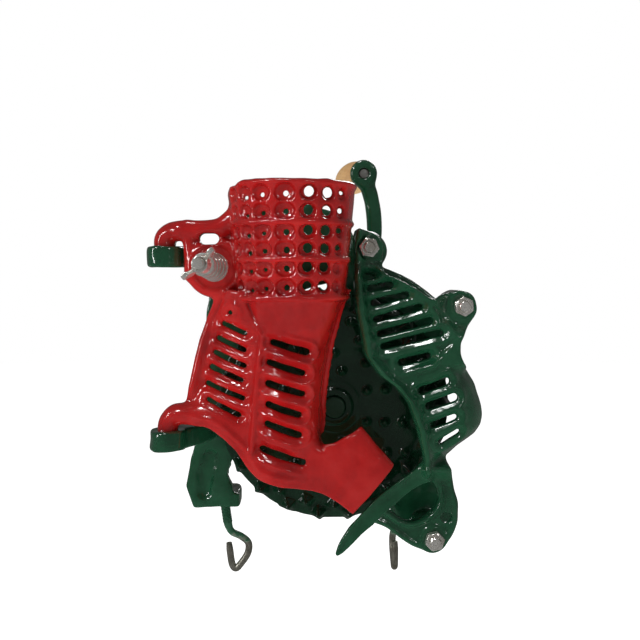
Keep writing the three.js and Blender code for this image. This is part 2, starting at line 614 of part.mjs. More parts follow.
// ---- Disc, shaft, crank and grip ----------------------------------------------------------------------

function shellingDisc() {
  const profile = [
    [0, 0], [DISC.faceR, 0], [DISC.r - 2, DISC.bevel], [DISC.r, DISC.bevel + 2], [DISC.r, DISC.rim],
    [DISC.r - 8, DISC.rim], [DISC.r - 10, DISC.web], [20, DISC.web], [18, DISC.hubBack], [0, DISC.hubBack],
  ];
  const body = turned(profile, 44);
  const teeth = [];
  const pyramid = (r, angle, depth, size, tip) => {
    const geometry = new THREE.ConeGeometry(size, tip, 4).rotateX(Math.PI);
    geometry.translate(r, depth - tip / 2, 0);
    return solid(geometry.rotateY(angle));
  };
  for (let i = 0; i < DISC.teeth; i++) {
    const angle = (i * 2 * Math.PI) / DISC.teeth;
    teeth.push(pyramid(DISC.outerRow, angle, 5.4, 5.6, 9.5));
    teeth.push(pyramid(DISC.innerRow, angle + Math.PI / DISC.teeth, 3, 5.4, 8.5));
  }
  for (const ring of CONE_ROWS) {
    for (let i = 0; i < ring.count; i++) {
      const cone = new THREE.ConeGeometry(4.8, 6.5, 4).rotateX(Math.PI).translate(ring.r, 0.6 - 3.25, 0);
      teeth.push(solid(cone.rotateY(((i + 0.5) * 2 * Math.PI) / ring.count)));
    }
  }
  const collar = turned([[0, -4], [13, -4], [15, 1], [0, 1]], 8);
  const bore = roundY(0, 0, SHAFT_R + GAP, -10, 30, 24);
  const pin = new THREE.CylinderGeometry(2.8, 2.8, 50, 12).rotateZ(Math.PI / 2);
  const pinHole = solid(pin, at(0, DISC.pinY, 0));
  return cut(join(body, teeth, collar), bore, pinHole);
}

function driveShaft() {
  const body = turned([
    [0, -7], [SHAFT_R - 1, -7], [SHAFT_R, -6], [SHAFT_R, 92], [SHAFT_R - 1, 93], [0, 93],
  ], 24);
  const pin = new THREE.CylinderGeometry(2.8, 2.8, 30, 12).rotateZ(Math.PI / 2);
  const pinHole = solid(pin, at(0, DISC.pinY, 0));
  return cut(body, pinHole);
}

function discPin() {
  return solid(new THREE.CylinderGeometry(2.5, 2.5, 34, 12).rotateZ(Math.PI / 2), at(0, DISC.pinY, 0));
}

// A flat ring along Y.
function ringY(inner, outer, y0, y1, sides = 24) {
  return turned([[inner, y0], [outer, y0], [outer, y1], [inner, y1], [inner, y0]], sides);
}

// A flat bar with round ends whose middle follows a curve in X and Z and whose width changes along it.
function crankBar() {
  const middle = new THREE.SplineCurve([
    new THREE.Vector2(0, 0),
    new THREE.Vector2(14, 42),
    new THREE.Vector2(30, 88),
    new THREE.Vector2(37.5, 128),
    new THREE.Vector2(36.5, 158),
    new THREE.Vector2(CRANK.eyeX, CRANK.eyeZ),
  ]);
  const left = [];
  const right = [];
  for (let i = 0; i <= 16; i++) {
    const p = middle.getPoint(i / 16);
    const t = middle.getTangent(i / 16);
    const half = mix(11, 6.4, Math.min(i / 8, 1));
    left.push([p.x - t.y * half, p.y + t.x * half]);
    right.unshift([p.x + t.y * half, p.y - t.x * half]);
  }
  return slab(outline([...left, ...right]), CRANK.front + 1, CRANK.front + CRANK.thick - 1);
}

function crankArm() {
  const { front, thick } = CRANK;
  const hub = roundY(0, 0, CRANK.hubR, front - 2, front + thick + 2, 24);
  const eye = roundY(CRANK.eyeX, CRANK.eyeZ, CRANK.eyeR, front, front + thick, 20);
  const bore = roundY(0, 0, SHAFT_R + GAP, front - 10, front + thick + 10, 24);
  const eyeHole = moved(solid(new THREE.CylinderGeometry(4.6, 4.6, 40, 14)), gripMatrix());
  return cut(join(hub, eye, crankBar()), bore, eyeHole);
}

// Turns +Y to the grip's axis and moves the origin to the middle of the crank's eye.
function gripMatrix() {
  const direction = new THREE.Vector3(GRIP.tiltX, 1, GRIP.tiltZ).normalize();
  const turn = new THREE.Quaternion().setFromUnitVectors(new THREE.Vector3(0, 1, 0), direction);
  const place = new THREE.Vector3(CRANK.eyeX, CRANK.front + CRANK.thick / 2, CRANK.eyeZ);
  return new THREE.Matrix4().compose(place, turn, new THREE.Vector3(1, 1, 1));
}

const GRIP_START = 9.6; // above the crank's eye, on the grip's own axis

function gripBolt() {
  const end = GRIP_START + GRIP.length + 1.8;
  const profile = [[0, -4], [4.2, -4], [4.2, end], [7, end], [7, end + 2], [4, end + 3.6], [0, end + 3.6]];
  return turned(profile, 16, gripMatrix());
}

function grip() {
  const { r, length } = GRIP;
  const profile = [
    [4.6, 0], [9.5, 0], [10.5, 1.5], [r - 2, 14], [r, 38], [r - 0.6, 60], [r - 2.6, 80],
    [r - 3.4, length - 6],
    [r - 5.5, length], [4.6, length], [4.6, 0],
  ];
  return turned(profile, 24, new THREE.Matrix4().multiplyMatrices(gripMatrix(), at(0, GRIP_START, 0)));
}

function gripWasher() {
  const profile = [[4.6, 0], [8.5, 0], [8.5, 1.5], [4.6, 1.5], [4.6, 0]];
  return turned(profile, 20, new THREE.Matrix4().multiplyMatrices(gripMatrix(), at(0, GRIP_START - 1.9, 0)));
}

// ---- Clamp screws -------------------------------------------------------------------------------------

// Leans a vertical screw's axis to the right going down, about the middle of its lower jaw.
function clampAxis(clamp) {
  const pivot = at(clamp.x, CLAMP_Y, JAW.bottom);
  const lean = new THREE.Matrix4().makeRotationY(-clamp.tilt * DEG);
  const back = at(0, 0, -JAW.bottom);
  return new THREE.Matrix4().multiplyMatrices(pivot, lean).multiply(back);
}

function clampScrew(clamp, loopTurn) {
  const shank = roundZ(0, 0, M8.r, -108, PAD.tip, 14);
  const loop = rod(
    [
      [0, 0, -104], [1.2, 0, -111], [9, 0, -117], [14.5, 0, -123], [12.5, 0, -132], [4, 0, -141],
      [0.5, 0, -143.5],
      [-1.6, 0, -139], [-1.8, 0, -128], [-1.5, 0, -120],
    ],
    2.9, 20, 6,
  );
  const turn = new THREE.Matrix4().makeRotationZ(loopTurn * DEG);
  return moved(moved(join(shank, loop), turn), clampAxis(clamp));
}

function clampPad(clamp) {
  const { top, bottom, tip, r } = PAD;
  const profile = [
    [0, top], [r - 1, top], [r, top - 1], [r, tip], [r - 2.5, tip - 3.5], [r - 3, bottom],
    [M8.r + GAP, bottom],
    [M8.r + GAP, tip + GAP], [0, tip + GAP],
  ];
  const points = profile.map(([r, z]) => new THREE.Vector2(r, z));
  const pad = solid(new THREE.LatheGeometry(points, 18).rotateX(Math.PI / 2));
  return moved(pad, clampAxis(clamp));
}

// ---- Assembly -----------------------------------------------------------------------------------------

const paint = (color) => new THREE.MeshStandardMaterial({ color, roughness: 0.22, metalness: 0.0 });
const MATERIALS = {
  red: paint(0xb81d20),
  green: paint(0x123d24),
  greenDark: paint(0x0d2c1a),
  zinc: new THREE.MeshStandardMaterial({ color: 0xb9b8b2, roughness: 0.35, metalness: 1 }),
  steel: new THREE.MeshStandardMaterial({ color: 0x8c8f86, roughness: 0.5, metalness: 1 }),
  wood: new THREE.MeshStandardMaterial({ color: 0xcfa272, roughness: 0.6, metalness: 0 }),
};

const sheller = new THREE.Group();
sheller.name = "corn_sheller";
sheller.position.set(-SEAT.x, -SEAT.y, -SEAT.z);
const add = (name, body, material) => sheller.add(meshOf(name, body, MATERIALS[material]));

add("frame", frame(), "green");
add("feed_cover", feedCover(), "red");
add("guard", guard(), "green");
LUGS.forEach((lug, i) => {
  const shank = roundY(lug.x, lug.z, M8.r, EAR.front - M8.nut - 3, PLATE.back + 1, 14);
  const head = hexPrism(M8.af, 0, M8.head, at(lug.x, PLATE.back + GAP, lug.z));
  add("guard_bolt_" + (i + 1), join(shank, head), "zinc");
  const nut = hexPrism(M8.af, M8.r + GAP, M8.nut, at(lug.x, EAR.front - GAP - M8.nut, lug.z));
  add("guard_nut_" + (i + 1), nut, "zinc");
});
add("tension_bolt", tensionBolt(), "zinc");
add("tension_spring", tensionSpring(), "zinc");
add("spring_washer", springWasher(), "zinc");
add("wing_nut", wingNut(), "zinc");
add("shelling_disc", shellingDisc(), "greenDark");
add("drive_shaft", driveShaft(), "steel");
add("disc_pin", discPin(), "steel");
add("thrust_washer", ringY(SHAFT_R + GAP, 14, DISC.hubBack + GAP, BEARING.front - GAP), "steel");
add("crank_washer", ringY(SHAFT_R + GAP, 14, BEARING.back + GAP, CRANK.front - 2 - GAP), "steel");
add("crank_arm", crankArm(), "green");
add("crank_nut", hexPrism(24, SHAFT_R + GAP, 8, at(0, CRANK.front + CRANK.thick + 2 + GAP, 0)), "zinc");
add("grip_bolt", gripBolt(), "steel");
add("grip_washer", gripWasher(), "steel");
add("grip", grip(), "wood");
CLAMPS.forEach((clamp) => {
  add(clamp.name + "_clamp_screw", clampScrew(clamp, clamp.name === "left" ? 0 : 90), "steel");
  add(clamp.name + "_clamp_pad", clampPad(clamp), "steel");
});

export default sheller;
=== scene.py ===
"""A hand corn sheller of enamelled cast iron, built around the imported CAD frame.

Shapes are worked out in millimetres in the shaft frame: the origin is on the drive shaft's axis at the
disc's front face, +X to the right, +Z up, and the front of the sheller faces -Y. The castings are carved
from distance fields, so that every edge is as round as thick enamel leaves it. Hardware is turned, threaded
and bent as meshes.
"""

import math

import bpy
import numpy as np
import openvdb
from mathutils import Matrix, Vector


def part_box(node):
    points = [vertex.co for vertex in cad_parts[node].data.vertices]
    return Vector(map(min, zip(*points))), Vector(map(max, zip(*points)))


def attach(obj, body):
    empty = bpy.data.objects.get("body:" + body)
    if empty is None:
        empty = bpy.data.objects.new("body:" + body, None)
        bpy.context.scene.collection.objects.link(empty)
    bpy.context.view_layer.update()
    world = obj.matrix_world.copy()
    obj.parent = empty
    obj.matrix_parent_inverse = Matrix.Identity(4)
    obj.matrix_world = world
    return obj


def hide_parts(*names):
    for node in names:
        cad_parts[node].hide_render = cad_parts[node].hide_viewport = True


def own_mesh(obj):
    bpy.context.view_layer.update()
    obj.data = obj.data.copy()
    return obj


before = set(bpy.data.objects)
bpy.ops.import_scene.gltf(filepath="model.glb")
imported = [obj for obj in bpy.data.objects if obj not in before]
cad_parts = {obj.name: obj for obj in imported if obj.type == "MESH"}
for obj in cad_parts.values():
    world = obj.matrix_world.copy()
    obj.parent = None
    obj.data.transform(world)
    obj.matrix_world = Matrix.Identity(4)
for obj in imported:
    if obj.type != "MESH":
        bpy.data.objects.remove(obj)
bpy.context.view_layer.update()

MM = 0.001
TAU = 2 * math.pi
SHAFT_FRONT = 7  # the shaft's front end is this far in front of the disc's face
shaft_low, shaft_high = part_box("drive_shaft")
ORIGIN = np.array([
    (shaft_low.x + shaft_high.x) / 2,
    shaft_low.y + SHAFT_FRONT * MM,
    (shaft_low.z + shaft_high.z) / 2,
])
VOXEL = 0.8  # of the castings' distance fields

# ---- Camera, lights and floor ----

CAMERA_PLACE = (-33.6, -613.2, 108.2)  # in the shaft frame
CAMERA_RIGHT, CAMERA_UP = (0.99931, -0.03717, 0.0), (0.00253, 0.06797, 0.99768)
LENS, SENSOR = 45.34, 36
# Of each light: its name, place, width and height in metres, and radiance.
LIGHTS = [
    ("key", (-1.2, -1.1, 1.15), (0.2, 0.24), 56), ("window", (1.1, -1.5, 1.0), (0.14, 0.16), 30),
    ("strip", (-1.55, -0.8, 0.4), (0.09, 0.6), 26), ("top", (-0.2, -0.5, 1.6), (0.32, 0.14), 30),
    ("back", (0.6, 1.5, 1.0), (0.5, 0.5), 7),
]
LIGHT_AIM = (0, 0, 0.13)
FLOOR_Z, STAGE_REACH = -0.5, 5.0


def add_object(name, data):
    """A new object in the scene."""
    made = bpy.data.objects.new(name, data)
    bpy.context.scene.collection.objects.link(made)
    return made


def add_camera():
    """The camera looks at the front, turned a little to the left and raised a little."""
    camera = add_object("camera", bpy.data.cameras.new("camera"))
    camera.data.lens = LENS
    camera.data.sensor_width = SENSOR
    right, up = Vector(CAMERA_RIGHT), Vector(CAMERA_UP)
    back = right.cross(up)
    place = Vector(ORIGIN) + Vector(CAMERA_PLACE) * MM
    rows = [(right[i], up[i], back[i], place[i]) for i in range(3)]
    camera.matrix_world = Matrix([*rows, (0, 0, 0, 1)])
    bpy.context.scene.camera = camera


def add_light(name, place, size, radiance):
    """A soft rectangular light aimed at the object's middle."""
    light = bpy.data.lights.new(name, "AREA")
    light.shape = "RECTANGLE"
    light.size, light.size_y = size
    light.energy = radiance * math.pi * size[0] * size[1]
    lamp = add_object(name, light)
    lamp.location = place
    lamp.rotation_euler = (Vector(LIGHT_AIM) - Vector(place)).to_track_quat("-Z", "Y").to_euler()


def stage_piece(name, mesh, colour, glow):
    """Part of the plain pale studio: it isn't mirrored in the enamel."""
    made = add_object(name, mesh)
    pale = bpy.data.materials.new(name)
    pale.use_nodes = True
    sockets = {"Base Color": (*colour, 1.0), "Roughness": 0.9, "Specular IOR Level": 0.0,
               "Emission Color": (1.0, 1.0, 1.0, 1.0), "Emission Strength": glow}
    for socket, value in sockets.items():
        pale.node_tree.nodes["Principled BSDF"].inputs[socket].default_value = value
    mesh.materials.append(pale)
    made.visible_glossy = False
    return made


def add_studio():
    """A pale floor well below the sheller, which hangs from its clamp seat, a white dome and soft lights."""
    bpy.context.scene.view_settings.view_transform = "Standard"
    world = bpy.data.worlds.new("room")
    world.use_nodes = True
    background = world.node_tree.nodes["Background"]
    background.inputs["Color"].default_value = (1.0, 0.98, 0.95, 1.0)
    background.inputs["Strength"].default_value = 0.1
    bpy.context.scene.world = world
    for light in LIGHTS:
        add_light(*light)
    floor = bpy.data.meshes.new("floor")
    corners = [(x * STAGE_REACH, y * STAGE_REACH, FLOOR_Z) for x, y in ((-1, -1), (1, -1), (1, 1), (-1, 1))]
    floor.from_pydata(corners, [], [(0, 1, 2, 3)])
    stage_piece("floor", floor, (0.9, 0.9, 0.89), 1.0)
    dome = bpy.data.meshes.new("dome")
    sides, rows = 48, 24
    points = []
    for j in range(1, rows):
        tilt = math.pi * j / rows
        for i in range(sides):
            turn = TAU * i / sides
            ring = STAGE_REACH * math.sin(tilt)
            points.append((ring * math.cos(turn), ring * math.sin(turn), STAGE_REACH * math.cos(tilt)))
    dome.from_pydata(points, [], grid_faces(rows - 1, sides))
    shell = stage_piece("dome", dome, (0.0, 0.0, 0.0), 1.0)
    shell.visible_diffuse = False
    shell.visible_shadow = False
    shell.visible_transmission = False


# ---- Meshes ----

M8_R, M8_FLATS, M8_HEAD, M8_PITCH = 4, 13, 5.3, 1.25


def piece(name, points, faces, material, body, slot, replaced):
    """A mesh object from points in the shaft frame, riding on a body in place of a CAD node."""
    mesh = bpy.data.meshes.new(name)
    mesh.from_pydata((np.asarray(points, float) * MM + ORIGIN).tolist(), [], faces)
    mesh.validate()
    mesh.polygons.foreach_set("use_smooth", [True] * len(mesh.polygons))
    mesh.materials.append(material)
    made = add_object(name, mesh)
    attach(made, body)
    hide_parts(replaced)
    return made


def turn_to(direction, place):
    """A matrix that turns local +Y to a direction and moves the origin to a place, in millimetres."""
    quaternion = Vector((0, 1, 0)).rotation_difference(Vector(direction))
    return Matrix.Translation(Vector(place)) @ quaternion.to_matrix().to_4x4()


def placed(points, matrix):
    """Points moved by a matrix."""
    points = np.asarray(points, float)
    m = np.array(matrix)
    return points @ m[:3, :3].T + m[:3, 3]


def grid_faces(rings, sides, closed_ends=True, wrap_rings=False):
    """Quads over rings of points, each ring closed, with fans of n-gons at the two ends."""
    faces = []
    count = rings if wrap_rings else rings - 1
    for j in range(count):
        a, b = j * sides, ((j + 1) % rings) * sides
        for i in range(sides):
            k = (i + 1) % sides
            faces.append((a + i, a + k, b + k, b + i))
    if closed_ends and not wrap_rings:
        faces.append(tuple(reversed(range(sides))))
        faces.append(tuple((rings - 1) * sides + i for i in range(sides)))
    return faces


def lathe(profile, sides, rounding=None):
    """Points and faces of a solid turned about local Y; the profile is (radius, height), and a profile that
    doesn't start on the axis closes on itself. rounding(angle, radius, height) may change the radius."""
    on_axis = profile[0][0] == 0
    rows = [row for row in profile if row[0] > 0]
    points = []
    for radius, height in rows:
        for i in range(sides):
            a = TAU * i / sides
            r = rounding(a, radius, height) if rounding else radius
            points.append((r * math.cos(a), height, -r * math.sin(a)))
    return points, grid_faces(len(rows), sides, closed_ends=on_axis, wrap_rings=not on_axis)


def softened(profile, radius, closed):
    """A profile with its corners rounded, apart from the points on the axis."""
    steps = 3
    pts = [Vector(p) for p in profile]
    count = len(pts)
    out = []
    for i, p in enumerate(pts):
        before, after = pts[i - 1], pts[(i + 1) % count]
        if p.x == 0 or not closed and i in (0, count - 1):
            out.append(tuple(p))
            continue
        reach = min(radius, (p - before).length / 2.2, (after - p).length / 2.2)
        start = p + (before - p).normalized() * reach
        end = p + (after - p).normalized() * reach
        for s in range(steps + 1):
            t = s / steps
            out.append(tuple(start * (1 - t) ** 2 + p * 2 * t * (1 - t) + end * t * t))
    return out


def hexagon(across_flats, height, bore, chamfer=0.9):
    """A hexagon nut or head along local Y from 0, its corners turned down at both faces."""
    apothem = across_flats / 2
    corner = apothem / math.cos(math.pi / 6)

    def rounding(angle, radius, level):
        if radius < apothem * 0.93:
            return radius
        flat = apothem / math.cos((angle % (TAU / 6)) - TAU / 12)
        limit = corner - 0.15 - max(0, chamfer - min(level, height - level)) * 1.7
        return min(flat, limit)

    inner = bore + 0.5 if bore else 0
    rows = [(inner, 0), (apothem * 0.9, 0), (corner, 0.02)]
    rows += [(corner, chamfer * t) for t in (0.33, 0.66, 1)]
    rows += [(corner, height - chamfer * t) for t in (1, 0.66, 0.33)]
    rows += [(corner, height - 0.02), (apothem * 0.9, height), (inner, height)]
    if bore:
        rows += [(bore, height - 0.5), (bore, 0.5)]
    return lathe(rows, 96, rounding)


def thread(low, high):
    """A threaded M8 rod along local Y, with its ends turned down."""
    radius, pitch, sides = M8_R, M8_PITCH, 28
    depth = pitch * 0.42
    rows = int((high - low) / pitch * 7)
    points = []
    for j in range(rows + 1):
        y = low + (high - low) * j / rows
        end = min(y - low, high - y)
        for i in range(sides):
            a = TAU * i / sides
            wave = abs(((y / pitch - i / sides) % 1) * 2 - 1)
            r = radius - depth * min(max(wave * 1.5 - 0.25, 0), 1)
            r = min(r, radius - depth * 1.1 + end * 0.9)
            points.append((r * math.cos(a), y, -r * math.sin(a)))
    return points, grid_faces(rows + 1, sides)


def spline(points, steps):
    """Points along a smooth curve through the given points, in two or three dimensions."""
    p = np.asarray(points, float)
    p = np.vstack([2 * p[0] - p[1], p, 2 * p[-1] - p[-2]])
    out = []
    for i in range(1, len(p) - 2):
        for s in range(steps):
            t = s / steps
            a = 2 * p[i]
            b = (p[i + 1] - p[i - 1]) * t
            c = (2 * p[i - 1] - 5 * p[i] + 4 * p[i + 1] - p[i + 2]) * t * t
            d = (-p[i - 1] + 3 * p[i] - 3 * p[i + 1] + p[i + 2]) * t ** 3
            out.append((a + b + c + d) / 2)
    out.append(p[-2])
    return np.array(out)


def tube(path, radii, sides):
    """A round rod along a path, its radius given at each point."""
    path = np.asarray(path, float)
    count = len(path)
    tangents = np.gradient(path, axis=0)
    tangents /= np.linalg.norm(tangents, axis=1)[:, None]
    normal = np.cross(tangents[0], [0.0, 0.0, 1.0])
    if np.linalg.norm(normal) < 0.1:
        normal = np.cross(tangents[0], [0.0, 1.0, 0.0])
    points = []
    for i in range(count):
        normal = normal - tangents[i] * normal.dot(tangents[i])
        normal /= np.linalg.norm(normal)
        side = np.cross(tangents[i], normal)
        for j in range(sides):
            a = TAU * j / sides
            points.append(path[i] + (normal * math.cos(a) + side * math.sin(a)) * radii[i])
    return points, grid_faces(count, sides)


def merged(*parts):
    """Several point and face lists as one."""
    points, faces = [], []
    for part_points, part_faces in parts:
        start = len(points)
        points.extend(np.asarray(part_points, float).tolist())
        faces.extend(tuple(start + i for i in face) for face in part_faces)
    return points, faces


def moved(part, matrix):
    """A part's points and faces, moved by a matrix."""
    return placed(part[0], matrix), part[1]


add_camera()
add_studio()

# ---- Distance fields ----

FAR = 8.0  # millimetres; distances are kept no larger than this


def smooth_min(a, b, k):
    """The nearer of two distances, with a fillet of about k where they are equal."""
    if k <= 0:
        return np.minimum(a, b)
    h = np.clip(0.5 + 0.5 * (b - a) / k, 0, 1)
    return b + (a - b) * h - k * h * (1 - h)


def smooth_max(a, b, k):
    """The farther of two distances, with the edge where they are equal rounded by about k."""
    return -smooth_min(-a, -b, k)


def smoothstep(start, end, value):
    """0 up to start, 1 from end on, and a smooth step between them."""
    t = np.clip((value - start) / (end - start), 0, 1)
    return t * t * (3 - 2 * t)


def swell(away, width):
    """1 where away is zero, falling off smoothly on both sides of it."""
    return np.exp(-(away / width) ** 2)


def squared_distance(x, z, start, end):
    """The squared distance to a line segment in X and Z."""
    ex, ez = end[0] - start[0], end[1] - start[1]
    t = np.clip(((x - start[0]) * ex + (z - start[1]) * ez) / max(ex * ex + ez * ez, 1e-9), 0, 1)
    return (x - start[0] - t * ex) ** 2 + (z - start[1] - t * ez) ** 2


def line_distance(x, z, points):
    """The distance to an open line in X and Z."""
    pairs = zip(points[:-1], points[1:])
    return np.sqrt(np.min([squared_distance(x, z, start, end) for start, end in pairs], axis=0))


def outline_distance(x, z, points):
    """The distance to a closed outline in X and Z, below zero inside."""
    points = np.asarray(points, float)
    inside = np.zeros(np.broadcast(x, z).shape, bool)
    for (x0, z0), (x1, z1) in zip(points, np.roll(points, -1, axis=0)):
        if z1 != z0:
            inside ^= ((z0 <= z) != (z1 <= z)) & (x < x0 + (z - z0) * (x1 - x0) / (z1 - z0))
    return np.where(inside, -1, 1) * line_distance(x, z, np.vstack([points, points[:1]]))


def strip_distance(x, z, points, halves):
    """The distance to a strip along a line in X and Z, half its width given at each point."""
    steps = zip(points[:-1], points[1:], halves)
    return np.min([line_distance(x, z, [start, end]) - half for start, end, half in steps], axis=0)


def slot_distance(x, z, middle_x, middle_z, length, width, tilt):
    """The distance to a slot with round ends in X and Z, below zero inside; tilt is in degrees."""
    c, s = math.cos(math.radians(tilt)), math.sin(math.radians(tilt))
    along = (x - middle_x) * c + (z - middle_z) * s
    across = -(x - middle_x) * s + (z - middle_z) * c
    reach = (length - width) / 2
    return np.hypot(along - np.clip(along, -reach, reach), across) - width / 2


def nearest_slot(x, z, slots):
    """The distance to the nearest of some slots."""
    return np.min([slot_distance(x, z, *slot) for slot in slots], axis=0)


class Clay:
    """A block of distances to a casting's surface, in millimetres, below zero inside."""

    def __init__(self, low, high, voxel=VOXEL):
        self.voxel = voxel
        self.low = np.array(low, float)
        counts = np.ceil((np.array(high, float) - self.low) / voxel).astype(int) + 1
        self.axes = [self.low[i] + voxel * np.arange(counts[i]) for i in range(3)]
        self.d = np.full(counts, FAR, np.float32)

    def window(self, low, high):
        """The slices and the coordinates of the part of the block between two corners."""
        cuts, axes = [], []
        for i in range(3):
            a = int(np.searchsorted(self.axes[i], low[i]))
            b = int(np.searchsorted(self.axes[i], high[i], side="right"))
            cuts.append(slice(a, max(b, a)))
            axes.append(self.axes[i][a:max(b, a)])
        x, y, z = axes
        return tuple(cuts), x[:, None, None], y[None, :, None], z[None, None, :]

    def plane(self):
        """The block's X and Z coordinates as a flat grid."""
        return self.axes[0][:, None], self.axes[2][None, :]

    def add(self, low, high, shape, k=0.0):
        """Joins a shape, a function of x, y and z, with a fillet of k."""
        cuts, x, y, z = self.window(low, high)
        if self.d[cuts].size:
            self.d[cuts] = smooth_min(self.d[cuts], shape(x, y, z), k)

    def cut(self, low, high, shape, k):
        """Takes a shape away, with its edges rounded by k."""
        cuts, x, y, z = self.window(low, high)
        if self.d[cuts].size:
            self.d[cuts] = smooth_max(self.d[cuts], -shape(x, y, z), k)

    def sheet(self, front, thickness, edge, k, join=0.0):
        """Joins a sheet whose front is y = front(x, z), cut to where the flat grid edge is below zero."""
        x, z = self.plane()
        height = front(x, z)
        slope_x, slope_z = np.gradient(height, self.voxel)
        steep = np.sqrt(1 + slope_x ** 2 + slope_z ** 2)
        y = self.axes[1][None, :, None]
        depth = (y - height[:, None, :]) / steep[:, None, :]
        wall = np.abs(depth - thickness / 2) - thickness / 2
        made = smooth_max(wall, edge[:, None, :], k)
        self.d = smooth_min(self.d, made, join).astype(np.float32)

    def rod(self, path, radii, k):
        """Joins a round bar along a path, its radius given at each point."""
        path = np.asarray(path, float)
        radii = np.broadcast_to(radii, len(path))
        for a, b, ra, rb in zip(path[:-1], path[1:], radii[:-1], radii[1:]):
            reach = max(ra, rb) + FAR / 2
            self.add(np.minimum(a, b) - reach, np.maximum(a, b) + reach, capsule(a, b, ra, rb), k)

    def solid(self, points, quads, k):
        """Joins a closed mesh of quads."""
        block = level_set(points, quads, self.low, self.voxel, self.d.shape)
        self.d = smooth_min(self.d, block, k)

    def blur(self, times):
        """Rounds every edge by about a voxel each time."""
        np.clip(self.d, -FAR, FAR, out=self.d)
        for _ in range(times):
            for axis in range(3):
                d = np.moveaxis(self.d, axis, 0)
                d[1:-1] = (d[:-2] + 2 * d[1:-1] + d[2:]) / 4

    def mesh(self, lumps, grain, seed):
        """The surface as points and quads; lumps is how far its unevenness goes, and grain how wide it is."""
        grid = openvdb.FloatGrid(FAR)
        block = np.clip(self.d, -FAR, FAR)
        grid.copyFromArray(np.ascontiguousarray(block))
        points, quads = grid.convertToQuads(0.0)
        points = points.astype(float) * self.voxel + self.low
        a, b, c = (points[quads[:, i]] for i in range(3))
        if np.einsum("ij,ij->", a, np.cross(b, c)) < 0:
            quads = quads[:, ::-1]
        points += normals_of(points, quads) * (lumps * noise(points / grain, seed))[:, None]
        return points, quads.tolist()


def level_set(points, faces, low, voxel, shape):
    """A closed mesh as a block of distances."""
    local = ((np.asarray(points, float) - low) / voxel).astype(np.float32)
    faces = np.asarray(faces, np.uint32)
    kind = "triangles" if faces.shape[1] == 3 else "quads"
    grid = openvdb.FloatGrid.createLevelSetFromPolygons(local, halfWidth=FAR / voxel, **{kind: faces})
    block = np.empty(shape, np.float32)
    grid.copyToArray(block)
    return block * voxel


def capsule(a, b, ra, rb):
    """A round bar from a to b, its radius ra at one end and rb at the other."""
    a, b = np.asarray(a, float), np.asarray(b, float)
    e = b - a
    length = max(float(e @ e), 1e-9)

    def shape(x, y, z):
        t = np.clip(((x - a[0]) * e[0] + (y - a[1]) * e[1] + (z - a[2]) * e[2]) / length, 0, 1)
        away = (x - a[0] - t * e[0]) ** 2 + (y - a[1] - t * e[1]) ** 2 + (z - a[2] - t * e[2]) ** 2
        return np.sqrt(away) - (ra + (rb - ra) * t)

    return shape


def disc_y(x0, z0, radius, y0, y1, k=1.5):
    """A round plate along Y with rounded edges."""
    middle, half = (y0 + y1) / 2, abs(y1 - y0) / 2

    def shape(x, y, z):
        return smooth_max(np.hypot(x - x0, z - z0) - radius, np.abs(y - middle) - half, k)

    return shape


def around(x, z, reach, low_y, high_y):
    """The two corners of a box along Y round a place in X and Z."""
    return (x - reach, low_y, z - reach), (x + reach, high_y, z + reach)


def along_y(distance):
    """A shape that is the same at every Y, from a distance in X and Z."""
    return lambda x, y, z: distance(x, z) + 0 * y


def round_hole(x0, z0, radius):
    """A round hole along Y."""
    return along_y(lambda x, z: np.hypot(x - x0, z - z0) - radius)


def cut_slots(clay, slots, low_y, high_y, k):
    """Cuts slots through a sheet that lies between two places in Y."""
    for slot in slots:
        middle_x, middle_z, length = slot[:3]
        window = around(middle_x, middle_z, length / 2 + 4, low_y, high_y)
        clay.cut(*window, along_y(lambda x, z: slot_distance(x, z, *slot)), k)


def normals_of(points, quads):
    """The mean normal at each point."""
    a, b, c, d = (points[quads[:, i]] for i in range(4))
    face = np.cross(c - a, d - b)
    out = np.zeros_like(points)
    for i in range(4):
        for axis in range(3):
            out[:, axis] += np.bincount(quads[:, i], face[:, axis], len(points))
    return out / np.maximum(np.linalg.norm(out, axis=1), 1e-9)[:, None]


def noise(points, seed):
    """Smooth unevenness from -1 to 1 with a wavelength of about one unit, the same on every run."""
    size = 16
    table = np.random.default_rng(seed).uniform(-1, 1, (size, size, size))
    base = np.floor(points).astype(int)
    t = points - base
    t = t * t * (3 - 2 * t)
    total = np.zeros(len(points))
    for corner in range(8):
        step = np.array([corner & 1, corner >> 1 & 1, corner >> 2])
        weight = np.where(step, t, 1 - t).prod(axis=1)
        index = (base + step) % size
        total += weight * table[index[:, 0], index[:, 1], index[:, 2]]
    return total


def clay_from_node(node):
    """A CAD node's solid as clay."""
    margin = 4.0
    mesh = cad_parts[node].data
    mesh.calc_loop_triangles()
    points = np.array([v.co for v in mesh.vertices], float).reshape(-1, 3)
    points = (points - ORIGIN) / MM
    triangles = np.array([t.vertices for t in mesh.loop_triangles], np.uint32)
    low = points.min(axis=0) - margin
    clay = Clay(low, points.max(axis=0) + margin)
    clay.d = level_set(points, triangles, low, VOXEL, clay.d.shape)
    return clay


# Seeds of the castings' unevenness.
COVER_SEED, GUARD_SEED, DISC_SEED, FRAME_SEED, CRANK_SEED, WING_SEED = 3, 5, 7, 11, 13, 17


def casting(name, clay, unevenness, material, body, slot, node):
    """A piece from clay; its unevenness is how far, how wide and from which seed."""
    clay.blur(1)
    points, faces = clay.mesh(*unevenness)
    piece(name, points, faces, material, body, slot, node)


# ---- Materials ----


